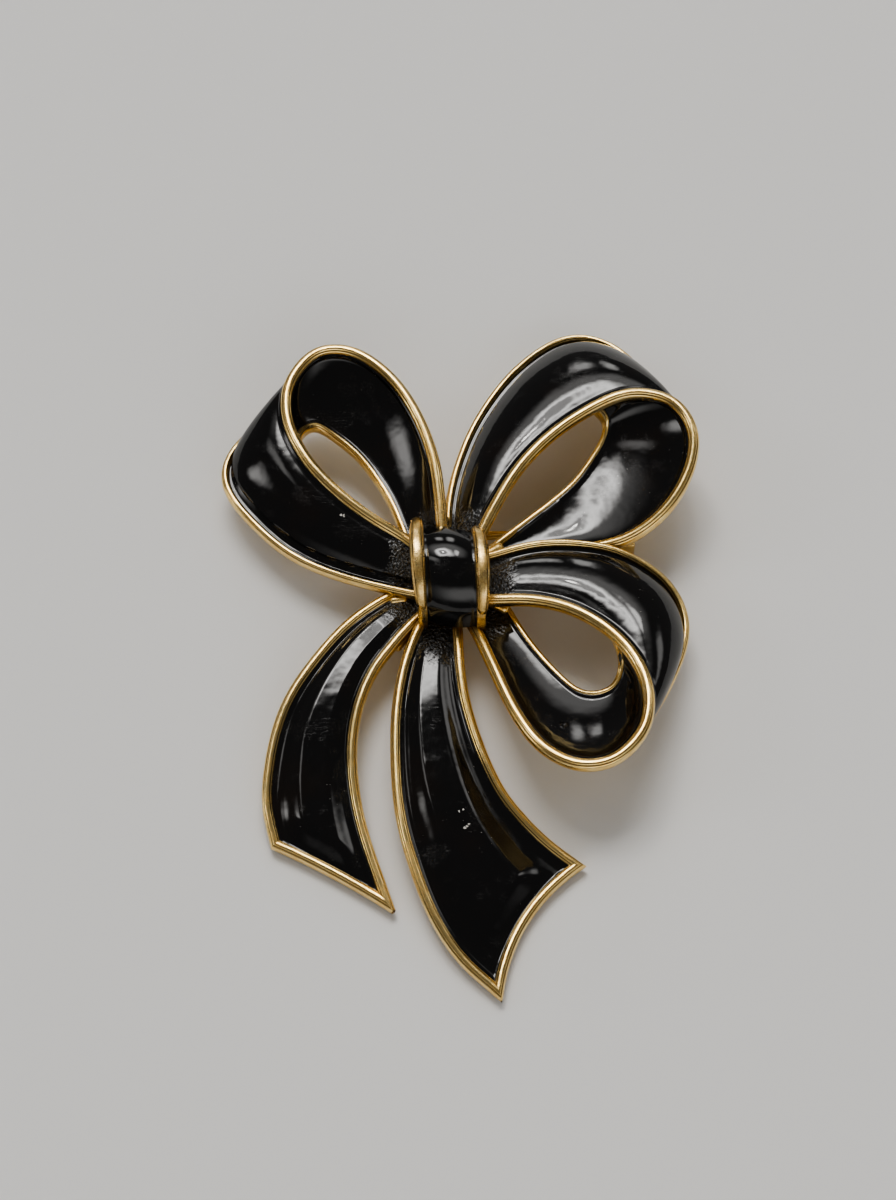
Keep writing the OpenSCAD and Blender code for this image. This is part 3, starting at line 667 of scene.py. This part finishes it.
def enamel_material(name, rough_reach):
    """Black enamel: deep gloss, faint waves, dust, a painted warm reflection, and a pitted dull
    skin near the knot.
    """
    material, n, shader = new_material(name)
    place = n.where()
    knot = place_group(n, NEAR_KNOT, Reach=rough_reach, Fade=3.0)["Mask"]
    dust = place_group(n, DUST, Specks=0.055, Scratches=0.8)
    marks = place_group(n, MARKS, Wobble=0.35)

    # Painted reflection: patches where the black turns warm, as if it mirrored something warm
    warm_reflection = n.ramp(n.noise(n.moved(place, place=(5, 2, 7)), 0.16, 2), 0.5, 0.75)
    base = n.blend(warm_reflection, BLACK, WARM_REFLECTION_BLACK)
    pits = n.ramp(n.noise(place, 3.2, 3, 0.7), 0.5, 0.72)
    crumbs = n.ramp(n.noise(place, 5.0, 2, 0.6), 0.64, 0.7)
    for share, tone in ((n.times(knot, pits), GRIME), (n.times(knot, crumbs), CRUMB),
                        (n.times(dust["Speck"], 0.8), SPECK),
                        (n.times(dust["Scratch"], 0.35), SCRATCH), (marks["Fleck"], FLECK)):
        base = n.blend(share, base, tone)
    n.link(base, shader["Base Color"])

    rough = n.ramp(n.noise(place, 0.5, 3, 0.6), 0.3, 0.75, 0.04, 0.11)
    for mask, more in ((marks["Fleck"], 0.5), (knot, 0.08), (dust["Scratch"], 0.25),
                       (dust["Speck"], 0.5)):
        rough = n.plus(rough, n.times(mask, more), clamp=True)
    n.link(rough, shader["Roughness"])

    waves = n.bump(n.noise(place, 0.55, 2, 0.4), 0.00006, 0.5)
    cells = n.times(n.cells(place, 3.4), 0.7)
    depth = n.math("SUBTRACT", n.plus(n.noise(place, 1.7, 4, 0.72), cells), PIT_MIDDLE)
    pocks = n.bump(n.times(knot, depth), 0.0003, 1.0, waves)
    crater = n.bump(marks["Crater"], 0.00012, 1.0, pocks)
    fine = n.plus(dust["Speck"], n.times(dust["Scratch"], -0.4))
    n.link(n.bump(fine, 0.00002, 0.6, crater), shader["Normal"])
    shader["IOR"].default_value = ENAMEL_IOR
    shader["Specular IOR Level"].default_value = ENAMEL_SHINE
    return material


GOLD, DEEP_GOLD = (1.0, 0.765, 0.35, 1), (0.95, 0.665, 0.255, 1)
BRUSHED_GOLD, SOLDER_BROWN = (0.55, 0.33, 0.10, 1), (0.36, 0.14, 0.03, 1)
# The recess brown is painted shade, laid where ambient occlusion finds recesses and undersides
PAINTED_RECESS_SHADE, GROOVE_BROWN = (0.15, 0.06, 0.014, 1), (0.13, 0.055, 0.014, 1)
RECESS_DEPTH = 0.0009          # distance in metres over which a recess is looked for
GROOVE_LINE = (0.005, 0.016)   # shares of the way round a rim where a groove's line fades


def gilt_material(name, brushed):
    """Satin gold plating: lengthwise brush lines on the rims, and painted shade that browns every
    recess.
    """
    material, n, shader = new_material(name)
    place = n.where()
    lay = n.add("ShaderNodeUVMap", uv_map="lay").outputs[0]
    lines = n.noise(n.moved(lay, scale=(0.25, 34, 1)), 1.0, 3, 0.6)
    cloud = n.noise(place, 0.9, 3, 0.6)
    grain = n.noise(place, 7.0, 2, 0.6)
    # Painted shade: ambient occlusion finds the recesses, and these are browned below
    hollow = n.add("ShaderNodeAmbientOcclusion", samples=6)
    hollow.inputs["Distance"].default_value = RECESS_DEPTH
    recess_shade = n.ramp(hollow.outputs["AO"], 0.25, 0.85, 1.0, 0.0)
    knot = place_group(n, NEAR_KNOT, Reach=8.5, Fade=4.0)["Mask"]

    tone = n.blend(n.ramp(cloud, 0.35, 0.7), GOLD, DEEP_GOLD)
    brushing = n.times(n.ramp(lines, 0.42, 0.62), 0.22)
    dull = n.times(n.times(knot, n.ramp(grain, 0.4, 0.62)), 0.35)
    for share, brown in ((brushing, BRUSHED_GOLD), (dull, SOLDER_BROWN),
                         (n.times(recess_shade, 0.8), PAINTED_RECESS_SHADE)):
        tone = n.blend(share, tone, brown)
    if brushed:
        round_rim = n.add("ShaderNodeSeparateXYZ")
        n.link(lay, round_rim.inputs[0])
        for at, _ in GROOVES[:TARNISHED]:
            off = n.math("ABSOLUTE", n.math("SUBTRACT", round_rim.outputs[1], at / TAU))
            tone = n.blend(n.ramp(off, *GROOVE_LINE, 0.85, 0.0), tone, GROOVE_BROWN)
    n.link(tone, shader["Base Color"])
    shader["Metallic"].default_value = 1.0

    rough = n.plus(n.ramp(cloud, 0.3, 0.7, 0.17, 0.27), n.times(recess_shade, 0.22))
    n.link(n.plus(rough, n.times(knot, 0.08), clamp=True), shader["Roughness"])

    brush = n.bump(lines, 0.00003 if brushed else 0.00001, 0.5)
    cast = n.times(n.plus(knot, 0.3), n.noise(place, 1.3, 2, 0.5))
    soft = n.bump(cast, 0.00004 if brushed else 0.00014, 0.6, brush)
    n.link(n.bump(grain, 0.000008, 0.5, soft), shader["Normal"])
    return material


FLOOR_TONES = (0.79, 0.785, 0.775, 1), (0.82, 0.815, 0.805, 1)
FLOOR_ROUGHNESS = 0.75


def floor_material():
    """Plain pale matt floor."""
    material, n, shader = new_material("pale_floor")
    place = n.add("ShaderNodeTexCoord").outputs["Object"]
    n.link(n.blend(n.noise(place, 6.0, 3), *FLOOR_TONES), shader["Base Color"])
    shader["Roughness"].default_value = FLOOR_ROUGHNESS
    return material


ENAMEL = enamel_material("black_enamel", 8.0)
KNOT_BLACK = enamel_material("black_knot_enamel", -5.0)  # no rough place on the knot itself
GILT = gilt_material("satin_gilt", True)
CAST_GILT = gilt_material("cast_gilt", False)


# Loops

def loop_rail(rows, loop, stops):
    """Middle line of a loop's rim at these row numbers."""
    return evened([loop_place(smooth_row(rows, u), loop) for u in stops])


def paced(stops, last):
    """Rows of the front rim that an outer rim's rows face."""
    return [u - max(u - last + 2, 0) * (1 - END_PACE) for u in stops]


def build_loop(name, loop):
    """Front rim of a loop, and for its outer and its inner wall the back rim, enamel and metal."""
    front, outer, inner = loop["front"], loop["outer"], loop["inner"]
    last, outer_last, inner_last = len(front) - 1, len(outer) - 1, len(inner) - 1
    front_path = loop_rail(front, loop, spread(0, last, last * STATIONS))
    outer_stops = spread(0, outer_last, outer_last * STATIONS)
    inner_stops = spread(0, inner_last, inner_last * STATIONS)
    outer_path = loop_rail(outer, loop, outer_stops)
    inner_path = loop_rail(inner, loop, inner_stops)
    over_outer = loop_rail(front, loop, paced(outer_stops, outer_last))
    over_inner = loop_rail(front, loop, [u + last - inner_last for u in inner_stops])
    crowns = [OUTER_CROWN * max(smooth_row(outer, u)[3], 0) / 100 for u in outer_stops]
    flat = [0.0] * len(inner_stops)

    add_metal(name + "_front_rim", rim_tube(front_path, FRONT_RIM, FRONT_RIM_T), GILT)
    for part, path in (("outer", outer_path), ("inner", inner_path)):
        rim = rim_tube(path, BACK_RIM, BACK_RIM_T, swell=rounded_ends(path, BACK_RIM / 2))
        add_metal("%s_%s_back_rim" % (name, part), rim, GILT)
    walls = (("outer", over_outer, outer_path, 1, outer_height, crowns),
             ("inner", over_inner, inner_path, -1, inner_height, flat))
    for part, over, under, side, height, crown in walls:
        rows = ribbon(over, under, side, FRONT_RIM / 2, BACK_RIM / 2)
        node = "%s_%s_enamel" % (name, part)
        add_piece(node + "_layer", enamel_tube(rows, height, crown), ENAMEL, [node])
        add_metal("%s_%s_plate" % (name, part), plate_tube(rows, height, crown), CAST_GILT)


# Tails

END_TUCK = 0.3       # how far from the middle of the end rim the enamel ends
END_SLOPE = 3.4      # length over which a tail's dome falls to its cut end
DOME_RUN_IN = -0.2   # length past the enamel's end at which the dome would have no height
TIP_REACH = 0.88     # how far a tail's corner stands out, as a share of its rim's width
OVERRUN = 1.6        # how far a rim runs on before its mitre is cut, in widths of the rim
LAST_STEPS = (0.45, 0.7, 0.83, 0.91, 0.96, 1.0)  # finer steps over the last of a tail's length
LEAST_SINE = 0.3     # least sine that a corner's angle counts with
BOW_POWER = 4        # the higher, the nearer to its end a tail's ribs begin to bow
CORNER_SPAN = 8      # points from a corner over which the ways of its two rims are taken
END_STATIONS = 60    # sections of the cut end's rim


def corner_ways(side, end):
    """Ways along a tail's side into its corner, and along its cut end away from it."""
    return (side[-1] - side[-CORNER_SPAN]).normalized(), (end[CORNER_SPAN] - end[0]).normalized()


def corner_sine(side, end):
    """Sine of the angle between a tail's side and its cut end at their corner."""
    out, away = corner_ways(side, end)
    return max(out.cross(away).length, LEAST_SINE)


def resampled(path, cut, steps):
    """So many steps along a path that stops a length before its end, finer at that end, and
    the length up to each."""
    run = lengths(path)
    total = run[-1] - cut
    places, at = [], 0
    targets = [total * k / steps for k in range(steps + 1 - len(LAST_STEPS))]
    rest = total - targets[-1]
    targets += [targets[-1] + rest * share for share in LAST_STEPS]
    for x in targets:
        while at < len(run) - 2 and run[at + 1] < x:
            at += 1
        t = (x - run[at]) / (run[at + 1] - run[at])
        places.append(path[at].lerp(path[at + 1], t))
    return places, targets


def carried_on(path, length, steps=6):
    """A path with a straight piece added to its end."""
    way = (path[-1] - path[-2]).normalized()
    return path + [path[-1] + way * (length * k / steps) for k in range(1, steps + 1)]


def tail_rims(name, left, end, right):
    """The rims of a tail, joined in a mitre at both corners of its cut end."""
    cuts = {}
    for key, side, other in (("left", left, end), ("right", right, end[::-1])):
        out, away = corner_ways(side, other)
        tip = (out - away).normalized()
        side_cut = (out + away).normalized()
        end_of_tip = (side[-1] + tip * (TAIL_RIM * TIP_REACH), tip)
        cuts[key] = ((side[-1], side_cut), end_of_tip)
        cuts[key + "_end"] = ((side[-1], -side_cut), end_of_tip)
    overrun = TAIL_RIM * OVERRUN
    for key, side in (("left", left), ("right", right)):
        rim = rim_tube(carried_on(side, overrun), TAIL_RIM, BACK_RIM_T, cuts=cuts[key])
        add_metal("%s_%s_rim" % (name, key), rim, GILT)
    both = carried_on(carried_on(end, overrun)[::-1], overrun)[::-1]
    rim = rim_tube(both, TAIL_RIM, BACK_RIM_T, cuts=cuts["left_end"] + cuts["right_end"])
    add_metal(name + "_end_rim", rim, GILT)


def build_tail(name, tail):
    """Rims, enamel and metal of a tail, with its cut end bowed inwards."""
    rows = tail["rows"]
    last = len(rows) - 1
    stops = spread(0, last, last * STATIONS)
    left = evened([tail_place(*smooth_row(rows, u)[:3], tail) for u in stops])
    right = evened([tail_place(*smooth_row(rows, u)[3:], tail) for u in stops])
    bows = []
    for a, b, u in zip(left, right, stops):
        across = b - a
        back = Vector((-across.y, across.x, 0)).normalized()
        bows.append(back * (tail["bow"] * (u / last) ** BOW_POWER))
    end = [left[-1] + (right[-1] - left[-1]) * v + bows[-1] * arch(v)
           for v in spread(0, 1, END_STATIONS)]
    tail_rims(name, left, end, right)
    (left_short, run), (right_short, _) = [
        resampled(side, END_TUCK / corner_sine(side, ends), len(stops) - 1)
        for side, ends in ((left, end), (right, end[::-1]))]
    to_end = [run[-1] - x for x in run]
    crowns = [(TAIL_CROWN * ramp(x, DOME_RUN_IN, END_SLOPE),
               MENISCUS * math.exp(-(x / CREEP) ** 2)) for x in to_end]
    ribs = ribbon(left_short, right_short, 1, TAIL_RIM / 2, TAIL_RIM / 2, bows)
    node = name + "_enamel"
    add_piece(node + "_layer", enamel_tube(ribs, tail_height, crowns), ENAMEL, [node])
    add_metal(name + "_plate", plate_tube(ribs, tail_height, crowns), CAST_GILT)


# Knot

KNOT_R = KNOT_LEN / 2
KNOT_MID = KNOT_H - KNOT_R
KNOT_HALF = KNOT_W / 2 - KNOT_RIM
KNOT_BASE = BACK_H - BACK_RIM_T / 2
LEAN = math.tan(math.radians(KNOT_TURN + KNOT_LEAN))
KNOT_PLACE = (Matrix.Translation((KNOT_X, KNOT_Y, 0))
              @ Matrix.Rotation(math.radians(-KNOT_TURN), 4, "Z")
              @ Matrix.Translation((0, KNOT_SHIFT, 0)))


def at_knot(x, degrees, radius):
    """A point at x across the knot and at an angle round its arch, 0 at the far side."""
    a = math.radians(degrees)
    y = radius * math.cos(a)
    return KNOT_PLACE @ Vector((x - y * LEAN, y, KNOT_MID + radius * math.sin(a)))


KNOT_RIM_ARC = (-20, 155, 120)    # where a knot rim starts and ends, and its sections
KNOT_ENAMEL_ARC = (20, 181, 110)  # the same of the knot's enamel
KNOT_RIM_DROP = 0.05    # how far a knot rim's top lies under the solid's
KNOT_RIM_END = 0.45     # share of its width that a knot rim has at its ends
KNOT_RIM_SIDES = 36
END_RINGS = 7           # sections over which a knot rim's end is rounded off
SQUARE = 2.5            # how square a knot rim's section is, 2 being round
FILL = 0.98             # share of its height that a knot rim's section fills
KNOT_CROWN, CROWN_POWER = 0.42, 2.1    # height and fullness of the enamel's crown
KNOT_TOP = 0.02         # how far the crown stays under the knot's radius
KNOT_LIP, LIP_WIDTH = 0.12, 0.15       # creep of the enamel up the rims
KNOT_TUCK = 0.1         # how far the enamel runs under the rims


def knot_rim(name, way, rise):
    """Lens-shaped rim, straight beside the enamel and bulging outwards."""
    angles = spread(*KNOT_RIM_ARC)
    mid_r = KNOT_R + rise - KNOT_RIM / 2 - KNOT_RIM_DROP
    widths = [KNOT_RIM * (KNOT_RIM_END + (1 - KNOT_RIM_END) * max(math.sin(math.radians(a)), 0))
              for a in angles]

    def place(ring, side):
        b = TAU * side / KNOT_RIM_SIDES
        w = widths[ring]
        nearest = min(ring, len(angles) - 1 - ring) + 0.5
        end = math.sqrt(1 - (1 - min(nearest / END_RINGS, 1.0)) ** 2)
        cos_b, sin_b = math.cos(b), math.sin(b)
        square = (abs(cos_b) ** SQUARE + abs(sin_b) ** SQUARE) ** (-1 / SQUARE)
        x = way * (KNOT_HALF + w / 2) + w / 2 * cos_b * square * end
        return at_knot(x, angles[ring], mid_r + KNOT_RIM / 2 * sin_b * square * end * FILL)
    run = [KNOT_R * math.radians(a - angles[0]) for a in angles]
    add_metal(name, bent_tube(len(angles), KNOT_RIM_SIDES, place, run), GILT)


def knot_enamel():
    """Strip of enamel over the arch, crowned across and thicker in its middle."""
    across, under = 48, 8
    sides = across + 1 + under
    angles = spread(*KNOT_ENAMEL_ARC)
    half = KNOT_HALF + KNOT_TUCK

    def place(ring, side):
        if side <= across:
            t = side / across * 2 - 1
            drop = KNOT_CROWN * abs(t) ** CROWN_POWER
            lip = KNOT_LIP * math.exp(-((1 - abs(t)) * half / LIP_WIDTH) ** 2)
            return at_knot(t * half, angles[ring], KNOT_R - KNOT_TOP - drop + lip)
        t = 1 - 2 * (side - across - 1) / (under - 1)
        return at_knot(t * half, angles[ring], KNOT_R - KNOT_ENAMEL_T)
    run = [KNOT_R * math.radians(a) for a in angles]
    add_piece("knot_enamel_layer", bent_tube(len(angles), sides, place, run), KNOT_BLACK,
              ["knot_enamel"])


DRUM_EDGE_ANGLE = 1.0   # radians; sharper edges of a drum are rounded
DRUM_BEVEL, DRUM_SIDES = 0.1, 144
CORE_RAISE = 0.08       # how far the core's top reaches into the enamel
CORE_LIFT = 0.1         # how far the core's base lies over the flanks'
CORE_REACH = 0.25       # share of a knot rim's width that the core reaches under it
FLANK_REACH = 0.6       # the same of the flanks
FLANK_DROP = 0.1        # how far the flanks stay under the knot's radius
LAY_TILT = 0.4          # share of y and z in a block's second UV coordinate


def knot_drum(name, x0, x1, radius, base):
    """Part of a drum across the knot, cut flat underneath."""
    bm = bmesh.new()
    bmesh.ops.create_cone(bm, cap_ends=True, segments=DRUM_SIDES, radius1=radius,
                          radius2=radius, depth=x1 - x0)
    bmesh.ops.rotate(bm, cent=(0, 0, 0), matrix=Matrix.Rotation(math.pi / 2, 3, "Y"),
                     verts=bm.verts)
    bmesh.ops.translate(bm, vec=((x0 + x1) / 2, 0, KNOT_MID), verts=bm.verts)
    for v in bm.verts:
        v.co.x -= v.co.y * LEAN
    cut = bmesh.ops.bisect_plane(bm, geom=bm.verts[:] + bm.edges[:] + bm.faces[:],
                                 plane_co=(0, 0, base), plane_no=(0, 0, -1), clear_outer=True)
    edges = [e for e in cut["geom_cut"] if isinstance(e, bmesh.types.BMEdge)]
    bmesh.ops.contextual_create(bm, geom=edges)
    rim_edges = [e for e in bm.edges
                 if not e.is_boundary and e.calc_face_angle(0) > DRUM_EDGE_ANGLE]
    bmesh.ops.bevel(bm, geom=rim_edges, offset=DRUM_BEVEL, segments=3, profile=0.5,
                    affect="EDGES", material=-1, clamp_overlap=True)
    bmesh.ops.transform(bm, matrix=KNOT_PLACE, verts=bm.verts)
    add_lay(bm)
    add_metal(name, bm, CAST_GILT)


def add_lay(bm):
    """A flat UV map in millimetres for a block that has no run of its own."""
    lay = bm.loops.layers.uv.new("lay")
    for face in bm.faces:
        for loop in face.loops:
            co = loop.vert.co
            loop[lay].uv = (co.x, co.y * LAY_TILT + co.z * LAY_TILT)


def build_knot():
    """The knot's core, its flanks, its two rims and its enamel."""
    side = KNOT_HALF + KNOT_RIM * FLANK_REACH
    inner = KNOT_HALF + KNOT_RIM * CORE_REACH
    core_r, flank_r = KNOT_R - KNOT_ENAMEL_T + CORE_RAISE, KNOT_R - FLANK_DROP
    knot_drum("knot_core", -inner, inner, core_r, KNOT_BASE + CORE_LIFT)
    knot_drum("knot_left_flank", -side, -KNOT_HALF, flank_r, KNOT_BASE)
    knot_drum("knot_right_flank", KNOT_HALF, side, flank_r, KNOT_BASE)
    knot_rim("knot_left_rim", -1, KNOT_RISE + KNOT_LEFT_EXTRA)
    knot_rim("knot_right_rim", 1, KNOT_RISE)
    knot_enamel()


WEB_STATIONS, WEB_SIDES = 24, 24


def build_webs():
    """Rounded bars of metal that tie the loops and tails to the knot."""
    for k, (x0, y0, z0, x1, y1, z1, thick) in enumerate(WEBS):
        a = Vector((KNOT_X + x0, KNOT_Y + y0, z0))
        b = Vector((KNOT_X + x1, KNOT_Y + y1, z1))
        way = (b - a).normalized() * (thick / 2)
        path = [a - way + (b - a + way * 2) * t for t in spread(0, 1, WEB_STATIONS)]
        swell = rounded_ends(path, thick / 2)
        web = rim_tube(path, thick, thick, WEB_SIDES, swell, grooved=False)
        add_metal("web_%d" % (k + 1), web, CAST_GILT)


# Pin

def block(name, low, high, bevel, node, taper=1.0):
    """A block of cast metal with rounded edges, its top drawn in by the taper."""
    bm = bmesh.new()
    bmesh.ops.create_cube(bm, size=1)
    size = [b - a for a, b in zip(low, high)]
    middle = [(a + b) / 2 for a, b in zip(low, high)]
    for v in bm.verts:
        if v.co.z > 0:
            v.co.x *= taper
            v.co.y *= taper
    bmesh.ops.scale(bm, vec=size, verts=bm.verts)
    bmesh.ops.translate(bm, vec=middle, verts=bm.verts)
    bmesh.ops.bevel(bm, geom=bm.edges[:], offset=bevel, segments=4, profile=0.5,
                    affect="EDGES", material=-1)
    add_lay(bm)
    add_piece(name, bm, CAST_GILT, [node])


FITTING_BEVEL, SOLDER_BEVEL = 0.25, 0.3
SOLDER_TAPER = 0.5  # width of the solder at its top, as a share of its foot's
STEM_STATIONS, STEM_SIDES = 40, 32


def build_pin():
    """The pin's stem, its two fittings and the solder that holds each."""
    y = KNOT_Y + STEM_Y
    hinge_x, catch_x = KNOT_X + HINGE_X, KNOT_X + HINGE_X + PIN_LEN
    for part, x, top in (("hinge", hinge_x, HINGE_PAD_TOP), ("catch", catch_x, CATCH_PAD_TOP)):
        left, right = x - FITTING_W / 2, x + FITTING_W / 2
        near, far = y - FITTING_L / 2, y + FITTING_L / 2
        block("pin_" + part, (left, near, 0), (right, far, FITTING_H), FITTING_BEVEL,
              "pin")
        block("solder_over_" + part, (left, near, FITTING_H + SOLDER_GAP), (right, far, top),
              SOLDER_BEVEL, "bow_frame", SOLDER_TAPER)
    start = Vector((hinge_x, y, STEM_H))
    path = [start + Vector((PIN_LEN * t, 0, 0)) for t in spread(0, 1, STEM_STATIONS)]
    stem = rim_tube(path, STEM_D, STEM_D, STEM_SIDES, grooved=False)
    add_piece("pin_stem", stem, GILT, ["pin"])


for loop_name, loop_rows in LOOPS.items():
    build_loop(loop_name, loop_rows)
for tail_name, tail_rows in TAILS.items():
    build_tail(tail_name, tail_rows)
build_knot()
build_webs()
build_pin()


# Floor, lights and camera

FLOOR_HALF = 1.6  # metres from the floor's middle to its edge


def build_floor():
    """A wide flat floor under the brooch."""
    bm = bmesh.new()
    bmesh.ops.create_grid(bm, x_segments=1, y_segments=1, size=FLOOR_HALF)
    mesh = bpy.data.meshes.new("floor")
    bm.to_mesh(mesh)
    bm.free()
    floor = bpy.data.objects.new("floor", mesh)
    bpy.context.collection.objects.link(floor)
    mesh.materials.append(floor_material())


# Soft patches of studio light: way to the middle, half width, half height, softness,
# brightness, and how dark the middle is
PATCHES = [
    ((-0.05, 0.64, 0.76), 0.40, 0.24, 0.35, 1.5, 0.0),
    ((-0.14, 0.52, 0.84), 0.18, 0.15, 0.45, 15.0, 0.85),
    ((0.17, 0.57, 0.80), 0.05, 0.10, 0.6, 8.0, 0.0),
    ((-0.86, 0.05, 0.51), 0.09, 0.15, 0.6, 3.6, 0.0),
    ((-0.46, 0.25, 0.85), 0.06, 0.16, 0.6, 1.8, 0.0),
    ((0.72, 0.46, 0.52), 0.09, 0.14, 0.6, 1.8, 0.0),
    ((-0.13, 0.93, 0.34), 0.07, 0.08, 0.6, 3.2, 0.0),
    ((0.09, 0.94, 0.33), 0.06, 0.10, 0.6, 3.2, 0.0),
    ((0.20, -0.83, 0.52), 0.60, 0.22, 0.6, 1.4, 0.0),
]
AMBIENT = 0.13
LAMP_POWER = 0.06
LAMP_SIZE = (0.03, 0.02)  # metres
LAMP_DISTANCE = 0.5
LAMP_COLOUR = (1.0, 0.97, 0.92)
LIGHT_COLOUR = (1.0, 0.985, 0.96, 1)
PATCH_SQUARE = 3.0  # how square the patches are, 2 being round
DARK_MIDDLE = (0.45, 0.85)  # shares of a patch between which its dark middle fades
HORIZON = 0.2  # how soon a patch ends on the far side of its middle


def build_lamp():
    """A small soft lamp in the middle of the brightest patch of the studio's light."""
    data = bpy.data.lights.new("lamp", "AREA")
    data.shape = "RECTANGLE"
    data.size, data.size_y = LAMP_SIZE
    data.energy = LAMP_POWER
    data.color = LAMP_COLOUR
    light = bpy.data.objects.new("lamp", data)
    brightest = max(PATCHES, key=lambda patch: patch[4])
    way = Vector(brightest[0]).normalized()
    light.location = way * LAMP_DISTANCE
    light.rotation_euler = (-way).to_track_quat("-Z", "Y").to_euler()
    bpy.context.collection.objects.link(light)


CAMERA_TARGET = Vector((-1.0, 3.3, 5.0)) * MM
CAMERA_DISTANCE = 0.235  # metres
CAMERA_ELEVATION = math.radians(62)
VIEW_HEIGHT = 1200 * 0.085 * MM  # height of what the camera sees at its target
SENSOR_HEIGHT = 36


def build_camera():
    """The camera, looking down at the brooch from its foot."""
    data = bpy.data.cameras.new("camera")
    data.sensor_fit = "VERTICAL"
    data.sensor_height = SENSOR_HEIGHT
    data.lens = SENSOR_HEIGHT * CAMERA_DISTANCE / VIEW_HEIGHT
    data.clip_start = 0.005
    data.clip_end = 20
    camera = bpy.data.objects.new("camera", data)
    back = Vector((0, -math.cos(CAMERA_ELEVATION), math.sin(CAMERA_ELEVATION)))
    camera.location = CAMERA_TARGET + CAMERA_DISTANCE * back
    camera.rotation_euler = (math.pi / 2 - CAMERA_ELEVATION, 0, 0)
    bpy.context.collection.objects.link(camera)
    bpy.context.scene.camera = camera


def build_world():
    """Studio light as a sum of soft-edged patches round the brooch."""
    world = bpy.data.worlds.new("studio")
    world.use_nodes = True
    n = Nodes(world.node_tree)
    way = n.add("ShaderNodeTexCoord").outputs["Generated"]

    total = AMBIENT
    for middle, width, height, softness, brightness, dark in PATCHES:
        middle = Vector(middle).normalized()
        right = UP.cross(middle).normalized()
        above = middle.cross(right)
        powers = [n.math("POWER", n.math("ABSOLUTE", n.vector("DOT_PRODUCT", way, axis)),
                         PATCH_SQUARE) for axis in (right / width, above / height)]
        out = n.math("POWER", n.plus(*powers), 1 / PATCH_SQUARE)
        patch = n.ramp(out, 1 - softness, 1 + softness, brightness, 0.0)
        if dark:
            patch = n.times(patch, n.ramp(out, *DARK_MIDDLE, 1 - dark, 1.0))
        facing = n.ramp(n.vector("DOT_PRODUCT", way, middle), 0.0, HORIZON)
        total = n.plus(n.times(patch, facing), total)
    background = world.node_tree.nodes["Background"]
    background.inputs["Color"].default_value = LIGHT_COLOUR
    n.link(total, background.inputs["Strength"])
    bpy.context.scene.world = world


build_floor()
build_camera()
build_world()
build_lamp()
bpy.context.scene.view_settings.view_transform = "AgX"
bpy.context.scene.view_settings.look = "AgX - Medium High Contrast"
